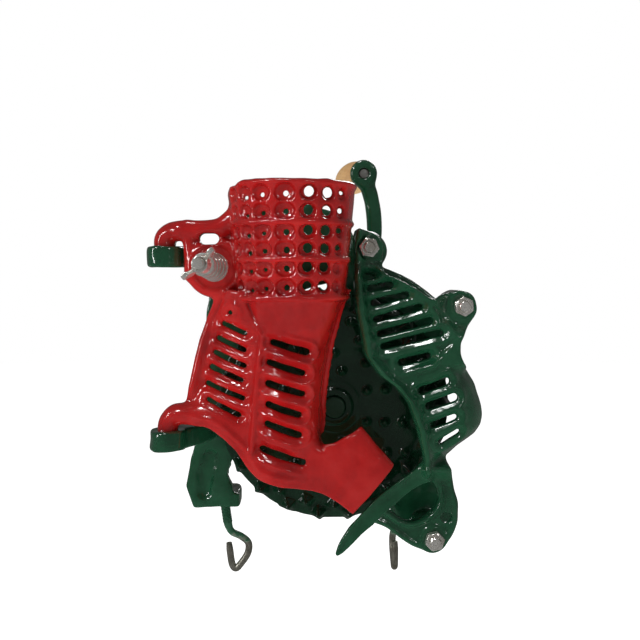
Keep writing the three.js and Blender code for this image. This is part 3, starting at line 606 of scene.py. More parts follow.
class Finish:
    """A material being wired up: its nodes are made by kind, with sockets set or linked by name."""

    def __init__(self, name):
        self.material = bpy.data.materials.new(name)
        self.material.use_nodes = True
        self.tree = self.material.node_tree
        self.shader = self.tree.nodes["Principled BSDF"]

    def node(self, kind, settings=None, **sockets):
        """A new node with its settings and sockets."""
        made = self.tree.nodes.new("ShaderNode" + kind)
        for name, value in (settings or {}).items():
            setattr(made, name, value)
        for name, value in sockets.items():
            self.put(made, name.replace("_", " "), value)
        return made

    def put(self, node, socket, value):
        """Sets a socket by name or number, or links an output to it."""
        target = node.inputs[int(socket)] if socket.isdigit() else node.inputs[socket]
        if isinstance(value, bpy.types.NodeSocket):
            self.tree.links.new(value, target)
        else:
            target.default_value = value

    def surface(self, **sockets):
        """Sets or links sockets of the surface itself."""
        for name, value in sockets.items():
            self.put(self.shader, name.replace("_", " "), value)

    def place(self, scale=(1, 1, 1)):
        """Coordinates that stay with the piece, in metres."""
        coordinates = self.node("TexCoord").outputs["Object"]
        if scale == (1, 1, 1):
            return coordinates
        return self.node("Mapping", Vector=coordinates, Scale=scale).outputs["Vector"]

    def noise(self, scale, detail, roughness=0.5, vector=None):
        vector = vector or self.place()
        made = self.node("TexNoise", Vector=vector, Scale=scale, Detail=detail, Roughness=roughness)
        return made.outputs["Fac"]

    def ramp(self, value, *stops):
        """A colour or grey ramp; each stop is (position, value)."""
        made = self.node("ValToRGB")
        made.color_ramp.elements[0].position = stops[0][0]
        made.color_ramp.elements[1].position = stops[-1][0]
        for position, _ in stops[1:-1]:
            made.color_ramp.elements.new(position)
        for element, (_, colour) in zip(made.color_ramp.elements, stops):
            if isinstance(colour, (int, float)):
                colour = (colour, colour, colour)
            element.color = (*colour, 1.0)
        self.put(made, "Fac", value)
        return made.outputs["Color"]

    def math(self, operation, a, b):
        return self.node("Math", {"operation": operation}, **{"0": a, "1": b}).outputs[0]

    def mix(self, share, a, b):
        made = self.node("Mix", {"data_type": "RGBA"})
        for index, value in ((0, share), (6, a), (7, b)):
            if isinstance(value, tuple) and len(value) == 3:
                value = (*value, 1.0)
            self.put(made, str(index), value)
        return made.outputs[2]

    def edges(self, low, high):
        """0 on flats and 1 on outer edges, or the reverse in hollows where low is above high."""
        pointed = self.node("NewGeometry").outputs["Pointiness"]
        smooth = {"interpolation_type": "SMOOTHSTEP"}
        return self.node("MapRange", smooth, Value=pointed, From_Min=low, From_Max=high).outputs["Result"]

    def bump(self, height, distance, strength, normal=None):
        made = self.node("Bump", Height=height, Distance=distance, Strength=strength)
        if normal is not None:
            self.put(made, "Normal", normal)
        return made.outputs["Normal"]


def enamel(name, body, deep_and_shade, thin, gloss=0.85):
    """Thick glossy enamel on rough cast iron: painted shade darkens the hollows, where the enamel also pools;
    thinner on the edges, a few nibs.
    """
    finish = Finish(name)
    iron = (0.05, 0.045, 0.04)
    clouds = finish.ramp(finish.noise(28, 4, 0.6), (0.3, deep_and_shade), (0.52, body), (0.75, thin))
    colour = finish.mix(0.55, body, clouds)
    # Painted shade: the hollows are mixed towards the deep colour, standing in for the shade that falls
    # there, and for enamel pooled in them.
    colour = finish.mix(finish.math("MULTIPLY", finish.edges(0.5, 0.44), 0.75), colour, deep_and_shade)
    worn = finish.edges(0.53, 0.62)
    colour = finish.mix(finish.math("MULTIPLY", worn, 0.5), colour, thin)
    chips = finish.ramp(finish.noise(420, 2, 0.5), (0.715, 0.0), (0.74, 1.0))
    colour = finish.mix(finish.math("MULTIPLY", worn, chips), colour, iron)
    dull = finish.ramp(finish.noise(60, 5, 0.65), (0.3, 0.1), (0.62, 0.2), (0.8, 0.34))
    peel = finish.bump(finish.noise(240, 2, 0.5), 0.00016, 0.55)
    ripples = finish.bump(finish.noise(150, 2, 0.5), 0.0005, 0.5, peel)
    waves = finish.bump(finish.noise(60, 2, 0.45), 0.0016, 0.6, ripples)
    nibs = finish.ramp(finish.noise(900, 1, 0.4), (0.7, 0.0), (0.78, 1.0))
    finish.surface(Base_Color=colour, Roughness=dull, Normal=finish.bump(nibs, 0.00012, 0.5, waves))
    finish.surface(Coat_Weight=gloss, Coat_Roughness=0.045, Coat_IOR=1.52, Specular_IOR_Level=0.5)
    return finish.material


def plated(name, bright, stain_and_shade, rough, scale=(1, 1, 1)):
    """Plated or bare steel with fine marks, and its hollows darkened by dirt and by painted shade."""
    finish = Finish(name)
    stained = finish.ramp(finish.noise(110, 3, 0.5), (0.46, bright), (0.74, stain_and_shade))
    # Painted shade with dirt: the hollows, such as the gaps between a spring's coils, are mixed towards the
    # stain colour.
    colour = finish.mix(finish.edges(0.5, 0.42), stained, stain_and_shade)
    marks = finish.noise(420, 3, 0.5, finish.place(scale))
    finish.surface(
        Base_Color=colour, Metallic=0.84, Roughness=finish.ramp(marks, (0.3, rough[0]), (0.7, rough[1])),
        Normal=finish.bump(marks, 0.00001, 0.3),
    )
    return finish.material


def painted_steel(name, axis, bare_end, painted_end, paint):
    """Bare steel with paint over one end, given by two places along an axis in the shaft frame."""
    finish = Finish(name)
    metal = finish.ramp(finish.noise(120, 5, 0.7), (0.3, (0.2, 0.19, 0.15)), (0.6, (0.44, 0.43, 0.37)))
    height = finish.node("SeparateXYZ", Vector=finish.place()).outputs[axis]
    start, end = [place * MM + ORIGIN["XYZ".index(axis)] for place in (bare_end, painted_end)]
    near = finish.node("MapRange", Value=height, From_Min=start, From_Max=end).outputs["Result"]
    spray = finish.math("ADD", near, finish.noise(150, 4, 0.7))
    cover = finish.ramp(spray, (0.72, 0.0), (1.0, 1.0))
    colour = finish.mix(cover, metal, paint)
    bare = finish.ramp(cover, (0.3, 0.9), (0.7, 0.0))
    dull = finish.ramp(finish.noise(300, 4), (0.3, 0.3), (0.7, 0.55))
    finish.surface(
        Base_Color=colour, Metallic=bare, Roughness=dull,
        Normal=finish.bump(finish.noise(260, 4, 0.65), 0.0003, 0.6),
    )
    return finish.material


def turned_wood():
    """Pale turned hardwood with grain along the grip, waxed."""
    finish = Finish("grip_wood")
    along = finish.place((1.0, 0.06, 1.0))
    fibres = finish.noise(420, 5, 0.7, along)
    bands = finish.noise(70, 3, 0.55, along)
    light, tan, brown = (0.9, 0.58, 0.27), (0.8, 0.46, 0.19), (0.5, 0.23, 0.085)
    colour = finish.mix(0.5, finish.ramp(bands, (0.3, light), (0.52, tan), (0.72, brown)),
                        finish.ramp(fibres, (0.35, light), (0.62, tan), (0.78, brown)))
    pores = finish.ramp(finish.noise(1100, 2, 0.5, along), (0.62, 0.0), (0.7, 1.0))
    colour = finish.mix(finish.math("MULTIPLY", pores, 0.45), colour, brown)
    finish.surface(
        Base_Color=colour, Roughness=finish.ramp(fibres, (0.3, 0.42), (0.7, 0.62)),
        Normal=finish.bump(fibres, 0.00012, 0.5), Coat_Weight=0.15, Coat_Roughness=0.3,
    )
    return finish.material


RED = enamel("red_enamel", (0.45, 0.009, 0.009), (0.16, 0.003, 0.004), (0.58, 0.022, 0.018))
GREEN = enamel("green_enamel", (0.009, 0.066, 0.029), (0.002, 0.018, 0.008), (0.022, 0.105, 0.054))
DARK_GREEN = enamel(
    "disc_green_enamel", (0.003, 0.021, 0.009), (0.001, 0.007, 0.003), (0.008, 0.045, 0.02), 0.45)
ZINC = plated("zinc", (0.98, 0.96, 0.91), (0.66, 0.62, 0.54), (0.16, 0.28))
SPRING_STEEL = plated("spring_steel", (0.86, 0.83, 0.78), (0.55, 0.5, 0.44), (0.07, 0.14))
STEEL = plated("steel", (0.45, 0.44, 0.42), (0.2, 0.18, 0.16), (0.25, 0.45), (1.0, 8.0, 1.0))
SCREW_STEEL = painted_steel("screw_steel", "Z", -128, -100, (0.022, 0.1, 0.05))
SHAFT_STEEL = painted_steel("shaft_steel", "Y", 6, -5, (0.006, 0.035, 0.015))
WOOD = turned_wood()

# ---- Feed cover ----

HINGE = (-124, -22)  # X and Y of the cover's hinge
RING_Z = (106.7, -27.8)  # undersides of the frame's two hinge rings
RING_HEIGHT = 15.2
SHELL = 5  # wall of the cover's lower part and of the guard

HOPPER_X, HOPPER_Y = -32.5, -26
HOPPER_BOTTOM, HOPPER_TOP = 84, 166.5
HOPPER_WALL = 6.2
HOPPER_HALF_ANGLE = 97
HOPPER_RIBS = (112.2, 137.4)
HOLE_LEVELS = (156.9, 144.6, 130.9, 118.9, 106.2, 93.1)
# Of each column of dimples, left to right: its angle in degrees, half its width, its depth, the middle in X
# and the radius of the hole through its floor, and how far the hole is above the dimple's middle.
DIMPLES = (
    (-64, 5.0, 2.8, None, 0, 0), (-46.5, 6.0, 3.5, -61.6, 1.2, -2.6), (-28.2, 6.7, 4.3, -51.0, 1.2, -1.4),
    (-6, 7.1, 4.4, -35.9, 1.5, -0.6), (15, 6.1, 4.3, -21.2, 2.9, 1.0), (34, 5.4, 3.8, -9.2, 3.0, 0.7),
    (51.5, 4.6, 3.0, 0.2, 1.6, 1.3),
)
BOSS = (-86.9, -34, 106.7)
BOSS_HOLE = (BOSS[0] + 0.6, BOSS[2], 7)  # X, Z and radius
EYE = (-76, 74.5)  # the small hole above the wing's slots
ARM_Y, ARM_WALL = -31.5, 6.5
ARM_WINDOW = (-91.2, 126.9, 14, 8, 0)  # a slot


def hopper_radius(z):
    """The hopper widens a little towards its mouth."""
    return 39.4 + (z - HOPPER_BOTTOM) / (HOPPER_TOP - HOPPER_BOTTOM) * 6.8


def knots(z, *pairs):
    """The value at z between knots (z, value)."""
    levels = sorted(pairs)
    return np.interp(z, [level for level, _ in levels], [value for _, value in levels])


def cover_front(x, z):
    """The front of the cover below the hopper: a channel that narrows, and a wing that falls to the left."""
    middle = knots(z, (88, -32.5), (84, -32), (64, -28.5), (50, -29.7), (35, -32), (8, -35), (-20, -36))
    width = knots(z, (88, 40.5), (84, 38.5), (64, 28), (50, 25.4), (35, 25), (-20, 25.2))
    front = knots(z, (88, -67), (84, -66.5), (64, -63), (50, -59), (20, -55), (-20, -51), (-55, -47))
    side = knots(z, (88, -26), (60, -20))
    t = np.clip(np.abs((x - middle) / width), 0, 0.985)
    round_side = side + (front - side) * (1 - t ** 2.3) ** 0.55
    ridge = knots(z, (84, -66), (58, -54), (25, -58), (-4, -60), (-26, -61.5))
    crest_y = knots(z, (88, -50), (72, -47), (50, -44), (-55, -39))
    share = np.clip((middle - x) / (middle - ridge), 0, 1.4)
    left_side = front + (crest_y - front) * share ** 2.6
    on_left = smoothstep(-2, 4, middle - x) * smoothstep(86, 66, z)
    channel = round_side + (left_side - round_side) * on_left
    left = knots(z, (84, -88), (64, -96.5), (45, -102.5), (23, -107.7), (8, -112), (2, -119))
    s = np.clip((x - left) / (ridge - left), 0, 1)
    edge = -14 - 9 * smoothstep(22, 4, z)
    wing = edge + (crest_y - edge) * (1 - (1 - s) ** 2.2) + np.maximum(x - ridge, 0) * 2
    crest = 4.6 * swell(x - ridge, 2.2) * smoothstep(74, 60, z) * smoothstep(-34, -22, z)
    return smooth_min(channel, wing, 2.0) - crest


# Of each slot: its middle in X and Z, length, width and tilt in degrees.
LEFT_SLOTS = [
    (-73.3, 63, 20.2, 3.5, -22), (-75.9, 51.5, 23.9, 3.5, -22), (-77.2, 40.5, 26.7, 3.5, -22),
    (-79.6, 29.9, 27, 3.5, -21), (-80.6, 17.3, 31, 3.5, -20), (-81.9, 5.5, 27.6, 3.5, -25),
]
RIGHT_SLOTS = [
    (-33.8, 50.9, 28.8, 4.6, -16.5), (-36.6, 36.1, 28.7, 4.6, -18), (-37, 21, 29.3, 4.6, -17.5),
    (-38.4, 5.8, 27, 4.6, -19.4), (-38.7, -8.7, 28, 4.6, -20), (-39, -28.2, 34.7, 4.6, -19.4),
]

TONGUE = [(-11, -19), (-8.5, -21), (-2, -20), (8, -15), (18.4, -9.5), (43.3, -39.1), (11.9, -73.6)]
COVER_RIGHT = [(12, 91), (5.5, 82), (3, 76), (-0.9, 64), (-4.3, 50), (-7.1, 35.3), (-8.8, 21.6), (-10, 8),
               (-10.3, -8), (-11, -19)]
COVER_BOTTOM = [(11.9, -73.6), (-2, -62), (-16.5, -54.8), (-43.1, -50), (-55, -46.5), (-63.6, -40.2),
                (-70, -30), (-78, -20.8), (-91.4, -10.3), (-103.2, -8.5), (-119, -7)]
COVER_LEFT = [(-119, 2.5), (-112, 6.5), (-109, 14), (-107.5, 23.3), (-102.3, 45.6), (-96.3, 64.1), (-88, 84),
              (-81, 91)]


def lower_cover(clay):
    """The channel, the wing with its grooved slots, and the flat tongue."""
    x, z = clay.plane()
    edge = outline_distance(x, z, np.vstack([
        spline(COVER_RIGHT, 5), TONGUE, spline(COVER_BOTTOM, 5), spline(COVER_LEFT, 5),
    ]))
    slots = nearest_slot(x, z, LEFT_SLOTS + RIGHT_SLOTS)
    left_edge = line_distance(x, z, spline(COVER_LEFT, 5))
    bottom_edge = line_distance(x, z, spline(COVER_BOTTOM[1:], 5))
    eye = np.hypot(x - EYE[0], z - EYE[1])

    def front(x, z):
        body = cover_front(x, z)
        body = body - 3.0 * swell(left_edge - 3, 3.6) * smoothstep(6, 20, z)
        body = body + 3.4 * swell(np.maximum(slots, 0), 3.0)
        body = body - 1.5 * swell(slots - 5.6, 1.5) * smoothstep(-62, -50, x) * smoothstep(64, 56, z)
        body = body - 1.6 * swell(eye - 6.5, 2.2) + 1.4 * swell(eye, 3.5)
        body = body - 1.6 * swell(bottom_edge - 7, 2.2) * smoothstep(2, -8, x)
        tongue = -42.5 + 0.14 * (x + 15) - 3.5 * swell(x - 14, 22) * swell(z + 42, 24)
        into_channel = smoothstep(-12, -27, z) * smoothstep(-36, -20, x)
        beside = smoothstep(5, 0, z) * smoothstep(-11.5, -9, x)
        share = np.maximum(into_channel, beside)
        past_edge = (x - 18.4) * 0.765 + (z + 9.5) * 0.644
        curl = 5.0 * np.exp(np.minimum(past_edge, 0) / 5.0) * smoothstep(0, 14, x)
        return body + (tongue + curl - body) * share

    clay.sheet(front, SHELL, edge, k=2.2)
    lip = spline([(4, -30, 84), (-1, -27, 64), (-7, -24, 35), (-10, -22, 8), (-10.6, -22, -14)], 4)
    clay.rod(lip, 2.6, k=2.5)
    cut_slots(clay, LEFT_SLOTS + RIGHT_SLOTS, -90, 0, k=1.6)
    clay.cut((-82, -90, 68), (-70, 0, 81), round_hole(*EYE, 1.7), k=1.2)


def hopper(clay):
    """The round hopper, open at the back, with ribs, a rim, a bottom flange and rows of dimpled holes."""
    def wall(x, y, z):
        radius = np.hypot(x - HOPPER_X, y - HOPPER_Y)
        angle = np.degrees(np.arctan2(x - HOPPER_X, -(y - HOPPER_Y)))
        outer = hopper_radius(z)
        proud = 2.4 * swell(z - HOPPER_BOTTOM - 1.2, 1.6) + 1.7 * swell(z - HOPPER_TOP + 2.4, 2.0)
        skin = smooth_max(radius - outer - proud, outer - HOPPER_WALL - radius, 1.0)
        mouth = HOPPER_TOP - 3.2 * smoothstep(-46, -60, angle) - 3.0 * smoothstep(-66, -95, angle)
        ends = smooth_max(z - mouth, HOPPER_BOTTOM - 2 - z, 1.0)
        sides = (np.abs(angle) - HOPPER_HALF_ANGLE) * math.radians(1) * radius
        return smooth_max(smooth_max(skin, ends, 2.6), sides, 2.4)

    clay.add((-90, -80, 78), (25, -8, 172), wall, k=2.0)
    for z in HOLE_LEVELS:
        for degrees, half_width, depth, hole_x, hole_radius, lift in DIMPLES:
            dimple(clay, math.radians(degrees), z, half_width, depth)
            if hole_radius and (degrees < 50 or z > 110):
                taper = hopper_radius(z) / hopper_radius(131)
                hole(clay, HOPPER_X + (hole_x - HOPPER_X) * taper, z + lift, hole_radius)
    turns = np.radians(np.arange(-70, 96, 5))
    for level, proud in [*((rib, -0.4) for rib in HOPPER_RIBS), (HOPPER_BOTTOM + 1.5, 1.2)]:
        reach = hopper_radius(level) + proud
        rib = [(HOPPER_X + reach * math.sin(a), HOPPER_Y - reach * math.cos(a), level) for a in turns]
        clay.rod(rib, 1.9, k=1.2)


def dimple(clay, angle, z, half_width, depth):
    """A shallow round dish in the hopper's wall, with a crisp rim."""
    outward = np.array([math.sin(angle), -math.cos(angle), 0.0])
    middle = np.array([HOPPER_X, HOPPER_Y, z]) + outward * (hopper_radius(z) + 0.5)

    def dish(x, y, z):
        px, py, pz = x - middle[0], y - middle[1], z - middle[2]
        inward = -(px * outward[0] + py * outward[1])
        across = np.abs(px * outward[1] - py * outward[0])
        flat = np.hypot(across / (half_width * 1.04), pz / (half_width * 0.9))
        return ((flat ** 3 + np.abs(inward / (depth + 0.5)) ** 3) ** (1 / 3) - 1) * depth

    clay.cut(middle - 11, middle + 11, dish, k=0.8)


def hole(clay, x, z, radius):
    """A hole through the wall's front, straight back, a little taller than it is wide."""
    across = x - HOPPER_X
    front = HOPPER_Y - math.sqrt((hopper_radius(z) + 2) ** 2 - across ** 2)
    shape = along_y(lambda px, pz: np.hypot(px - x, (pz - z) * 0.9) - radius)
    clay.cut(*around(x, z, 9, front - 6, HOPPER_Y), shape, k=0.9)


def cover_arm(clay):
    """The arm from the hopper to the hinge, with its window, the spring's boss and the two hooks."""
    x, z = clay.plane()
    arm = np.vstack([
        spline([(-71, 153), (-76.5, 150), (-78.4, 144), (-82, 139.6), (-87.5, 137.6), (-113, 137.6)], 4),
        [(-113, 128), (-108.2, 122), (-108.2, 98)],
        spline([(-108.2, 98), (-105.7, 96), (-101.4, 90.9), (-93.6, 86.2), (-85.7, 83), (-72, 80)], 3),
        [(-70, 80), (-70, 100), (-72, 140)],
    ])
    edge = outline_distance(x, z, arm)
    clay.sheet(lambda x, z: ARM_Y + 0 * x + 0 * z, ARM_WALL, edge, k=2.4, join=3.0)
    beam = spline([
        (-74, -31, 143), (-83, -31, 135), (-96, -30, 133.2), (-109, -28.5, 133.2), (-118, -25.5, 132),
        (-123.6, HINGE[1], 128), (HINGE[0] - 0.3, HINGE[1], 124), (*HINGE, 116),
    ], 5)
    clay.rod(beam, np.linspace(4.6, 5.4, len(beam)), k=4.0)
    web = spline([(-107, -29, 136), (-105.2, -30, 124), (-105, -30, 112), (-105, -30, 100)], 4)
    clay.rod(web, 3.4, k=3.0)
    lower_hook = spline([(-96, -26, 0), (-108, -25, 0), (-117, -24, -1), (-122.5, HINGE[1], -6),
                         (*HINGE, -13), (*HINGE, -19)], 5)
    clay.rod(lower_hook, np.linspace(6.0, 5.0, len(lower_hook)), k=4.0)
    for ring in RING_Z:
        clay.rod([(*HINGE, ring + RING_HEIGHT - 2), (*HINGE, ring + 6)], (4.6, 4.2), k=1.0)
    boss_x, boss_y, boss_z = BOSS
    clay.add((-112, -45, 80), (-60, -15, 132), disc_y(boss_x, boss_z, 21, boss_y - 0.5, -25), k=2.5)

    def inside_hopper(x, y, z):
        return smooth_max(np.hypot(x - HOPPER_X, y - HOPPER_Y) - hopper_radius(z) + HOPPER_WALL, 86 - z, 1.0)

    clay.cut((-90, -80, 84), (20, -5, 180), inside_hopper, k=0.8)

    def raised_ring(x, y, z):
        around = np.hypot(x - boss_x, z - boss_z) - 17.4
        return np.hypot(around, y - boss_y + 0.4) - 2.0

    clay.add((-112, -45, 80), (-60, -28, 132), raised_ring, k=1.6)

    window = along_y(lambda x, z: slot_distance(x, z, *ARM_WINDOW))
    clay.cut((-104, -60, 116), (-78, -10, 138), window, k=2.2)
    clay.cut((-104, -60, 90), (-70, -5, 124), round_hole(*BOSS_HOLE), k=1.0)


def feed_cover():
    """The red casting, in one piece."""
    clay = Clay((-136, -78, -80), (52, -4, 175))
    lower_cover(clay)
    hopper(clay)
    cover_arm(clay)
    casting("feed_cover_casting", clay, (0.45, 8, COVER_SEED), RED, "cover", "red_enamel", "feed_cover")


# ---- Guard ----

LUGS = [(24.3, 121), (94.8, 77.7), (74.8, -99.2)]
LUG_HOLE, SPARE_HOLE = 4.5, (84.5, -83.1, 4.0)  # a radius, and X, Z and radius
EAR_FRONT, EAR_BACK = -19, -12
GUARD_FRONT, FOOT_FRONT = -27, -17
# The lip's X and the bulge's outer X, at places in Z.
LIP = [
    (134, 13.7), (108, 12.9), (90, 12.5), (76.6, 13.9), (61.4, 16.8), (41.4, 20.9), (27.6, 31.7),
    (18.6, 43), (7.3, 51.9), (-4.1, 56.4), (-16.9, 60.3), (-33.4, 63.6), (-49, 64.4),
]
BULGE = [(45, 93), (36, 97), (30, 101.5), (16.5, 108.5), (8, 112), (0, 114.3), (-6, 115), (-14, 113.8),
         (-21, 109), (-30, 97), (-40, 85)]
GUARD_OUTLINE = [
    (13.7, 133.2), (12.9, 108.2), (12.5, 90.3), (13.9, 76.6), (16.8, 61.4), (20.9, 41.4), (31.7, 27.6),
    (43, 18.6), (51.9, 7.3), (56.4, -4.1), (60.3, -16.9), (63.6, -33.4), (63, -46), (50, -54), (34, -64),
    (26, -76), (27, -84.8), (38, -90.3), (48.2, -98.2), (58.4, -105.2), (68, -108.6), (77, -109.4),
    (84.6, -104.2), (90.6, -95.6), (93.8, -86.5), (94, -77.3), (92.8, -67.8), (90.3, -58.3), (87.7, -48.1),
    (85.6, -40), (86.5, -36.5), (92.5, -32.5), (98.5, -29), (104, -25.5), (109, -21), (112.6, -16.5),
    (114.5, -11.5), (115, -6), (114.2, 0.5), (111.8, 8.5), (108.5, 16.5), (104.6, 24), (99.8, 30.5),
    (95.0, 36.5), (92.6, 42), (92.2, 47), (93.6, 53.5), (103, 68.6), (105, 77), (102, 86), (94.9, 89.5),
    (86, 88), (77.4, 86), (71.1, 83.2), (59.5, 90.8), (46.1, 97.9), (35.7, 103.1), (35, 113.4), (33.5, 126),
    (26, 133),
]
# Of each slot: its middle in X and Z, length, width and tilt in degrees.
FAN_SLOTS = [
    (24.6, 100.5, 9, 4.6, 6), (32.5, 92.4, 19.4, 4.6, 9.5), (39.9, 83.5, 29, 4.6, 13.7),
    (46, 73, 38, 4.6, 15.5), (51, 62.5, 42.6, 4.6, 14.6), (56.5, 53.3, 47.8, 4.6, 13.4),
    (58.4, 38.6, 25, 4.6, 13.4),
]
SIDE_SLOTS = [
    (72.7, 18.9, 24.5, 5.2, 21), (78.6, 7.2, 25, 5.8, 18.4), (80.2, -7.3, 21.7, 4.8, 20),
    (84.3, -18.9, 18.5, 3.6, 31),
]
FAN_PANEL = [(23, 104.5), (36.5, 101.2), (53.4, 93.6), (72.8, 80), (87, 56.5), (78.7, 42), (62, 32),
             (43.3, 28.6), (30.6, 41.3), (23, 65), (19.7, 90)]
D_HOLE = [(39.5, -74), (47, -66), (58, -58.5), (69, -54), (75, -56.8), (77.5, -64), (77.6, -69),
          (75.5, -74.5), (71.5, -79), (65.5, -82.8), (58, -85), (50.2, -83.3), (44.5, -79.2)]


def closed_spline(points, steps):
    """Points along a smooth closed curve through the given points."""
    ring = spline([points[-1], *points, points[0], points[1]], steps)
    return ring[steps:-steps - 1]


def guard_front(x, z):
    """The front of the guard: a rolled lip, bolted ears, a low foot and a bulge round the disc."""
    rolled = -8 * swell(x - knots(z, *LIP) - 3.5, 4.2)
    to_ear = np.min([np.hypot(x - lug_x, z - lug_z) for lug_x, lug_z in LUGS], axis=0)
    flat = np.maximum(smoothstep(105, 118, z), smoothstep(24, 12, to_ear))
    panel = GUARD_FRONT + (EAR_FRONT - GUARD_FRONT) * flat
    low = panel + (FOOT_FRONT - panel) * smoothstep(-42, -56, z)
    edge = knots(z, *BULGE)
    bulge = smoothstep(37, 25, z) * smoothstep(-44, -36, z)
    around = smoothstep(-34, 1, x - edge)
    back = 26 * (1 - np.sqrt(np.maximum(1 - around ** 2, 0)))
    return low + rolled * smoothstep(-62, -45, z) + bulge * back


def cob_tongue():
    """The blade that carries the cob down and out to the left: a tapering dished strip."""
    middle = spline([(68, -23, -47), (54.5, -27, -55), (37.5, -31, -64.5), (23.5, -35.5, -76.5),
                     (9.5, -40.5, -89.5), (-0.8, -44, -102)], 8)
    tangents = np.gradient(middle, axis=0)
    tangents /= np.linalg.norm(tangents, axis=1)[:, None]
    rings = []
    for i, (point, tangent) in enumerate(zip(middle, tangents)):
        v = i / (len(middle) - 1)
        across = np.array([-tangent[2], 0, tangent[0]])
        across /= np.linalg.norm(across)
        width = (15 - 6 * v) * math.sqrt(max(1 - v ** 8, 0.05))
        spread = np.linspace(-0.5, 0.5, 7)
        front = [point + across * u * width + np.array([0, -10 * u * u, 0]) for u in spread]
        back = [p + np.array([0, SHELL, 0]) for p in reversed(front)]
        rings.append(front + back)
    sides = len(rings[0])
    points = np.array(rings).reshape(-1, 3)
    quads = grid_faces(len(rings), sides, closed_ends=False)
    for start in (0, (len(rings) - 1) * sides):
        for i in range(6):
            quads.append((start + i, start + i + 1, start + sides - 2 - i, start + sides - 1 - i))
    return points, quads


def d_hole_distance(x, z):
    return outline_distance(x, z, closed_spline(D_HOLE, 6))


def guard():
    """The green slotted casting at the right, with its cob tongue."""
    clay = Clay((-8, -54, -117), (124, 14, 140))
    x, z = clay.plane()
    edge = outline_distance(x, z, closed_spline(GUARD_OUTLINE, 4))
    slots = nearest_slot(x, z, FAN_SLOTS + SIDE_SLOTS)
    panel = outline_distance(x, z, closed_spline(FAN_PANEL, 6))
    d_hole = d_hole_distance(x, z)

    def front(x, z):
        made = guard_front(x, z) + 3.2 * smoothstep(2.0, -3.0, panel)
        made = made - 2.2 * swell(slots - 5.0, 2.4) + 1.0 * swell(np.maximum(slots, 0), 2.0)
        made = made - 2.4 * swell(d_hole - 3.0, 2.0) * smoothstep(-50, -60, z)
        return made - 2.0 * swell(edge + 3, 2.2) * smoothstep(-46, -56, z)

    clay.sheet(front, SHELL, edge, k=2.2)
    clay.solid(*cob_tongue(), k=5.0)
    for lug_x, lug_z in LUGS:
        ear = disc_y(lug_x, lug_z, 10.2, EAR_FRONT, EAR_BACK)
        clay.add(*around(lug_x, lug_z, 16, -60, 20), ear, k=2.5)
    cut_slots(clay, FAN_SLOTS + SIDE_SLOTS, -60, 20, k=1.5)
    for hole_x, hole_z, radius in [*((*lug, LUG_HOLE) for lug in LUGS), SPARE_HOLE]:
        clay.cut(*around(hole_x, hole_z, 9, -60, 20), round_hole(hole_x, hole_z, radius), k=1.2)
    clay.cut((38, -60, -92), (86, 20, -50), along_y(d_hole_distance), k=1.6)
    for lug_x, lug_z in LUGS:
        seat = disc_y(lug_x, lug_z, 8.6, -60, EAR_FRONT, k=0.5)
        clay.cut(*around(lug_x, lug_z, 12, -60, EAR_FRONT + 3), seat, k=0.8)
    casting("guard_casting", clay, (0.5, 9, GUARD_SEED), GREEN, "stand", "green_enamel", "guard")


# ---- Shelling disc ----

DISC_R, DISC_FACE_R, DISC_TEETH = 90, 73, 22
# Of each ring of teeth: its radius, how many teeth it is turned by, their height and half their width.
TOOTH_ROWS = [(84.0, 0, 9.2, 6.3), (76.0, 0.5, 8.2, 5.8)]
CONE_ROWS = [(28, 7), (41, 10), (54, 13), (66, 16)]  # the radius of each ring, and how many it has
SHAFT_R, SHAFT_BORE = 8, 8.2


def pyramid(base, axis, twist, half_width, height):
    """A four-sided pyramid standing on a point, its flats turned by twist about the axis."""
    axis = np.asarray(axis, float) / np.linalg.norm(axis)
    side = np.cross(axis, [math.sin(twist), 0.0, math.cos(twist)])
    side /= np.linalg.norm(side)
    other = np.cross(axis, side)
    slope = math.hypot(height, half_width)

    def shape(x, y, z):
        px, py, pz = x - base[0], y - base[1], z - base[2]
        rise = px * axis[0] + py * axis[1] + pz * axis[2]
        u = np.abs(px * side[0] + py * side[1] + pz * side[2])
        v = np.abs(px * other[0] + py * other[1] + pz * other[2])
        walls = (smooth_max(u, v, 0.8) * height - half_width * (height - rise)) / slope
        return smooth_max(walls, -rise - 2.0, 0.5)

    return shape


def shelling_disc():
    """The green disc: a bevelled rim with two rings of pyramid teeth, and rings of cones inside them."""
    clay = Clay((-97, -10, -97), (97, 21, 97))

    def body(x, y, z):
        r = np.hypot(x, z)
        bevel = np.maximum(r - DISC_FACE_R, 0) * 5 / 15
        front = bevel - y
        back = y - np.where(r > 80, 12, 8)
        plate = smooth_max(smooth_max(front, back, 1.2), r - DISC_R + 0.6, 1.6)
        hub = smooth_max(r - 19, np.abs(y - 8.5) - 9, 1.5)
        return smooth_min(plate, hub, 4.0)

    clay.add(*around(0, 0, 99, -12, 23), body)
    for i in range(DISC_TEETH):
        for radius, turned, height, width in TOOTH_ROWS:
            a = TAU * (i + turned) / DISC_TEETH
            outward = np.array([math.cos(a), 0, math.sin(a)])
            base = outward * radius + np.array([0, (radius - DISC_FACE_R) / 3 + 1.0, 0])
            axis = np.array([0, -1.0, 0]) + outward * 0.3
            tooth = pyramid(base, axis, a + math.pi / 4, width, height + 1.5)
            clay.add(base - 13, base + 13, tooth, k=1.0)
    for radius, count in CONE_ROWS:
        for i in range(count):
            a = TAU * (i + 0.5) / count
            base = np.array([radius * math.cos(a), 1.0, radius * math.sin(a)])
            clay.add(base - 12, base + 12, capsule(base, base - np.array([0, 4.4, 0]), 4.3, 1.9), k=1.6)
    clay.add(*around(0, 0, 22, -8, 8), disc_y(0, 0, 14, -4, 6, k=2.0), k=2.5)
    clay.cut(*around(0, 0, 14, -20, 30), round_hole(0, 0, SHAFT_BORE), k=0.6)
    unevenness = (0.25, 8, DISC_SEED)
    casting("shelling_disc_casting", clay, unevenness, DARK_GREEN, "rotor", "green_enamel", "shelling_disc")


# ---- Frame and crank ----

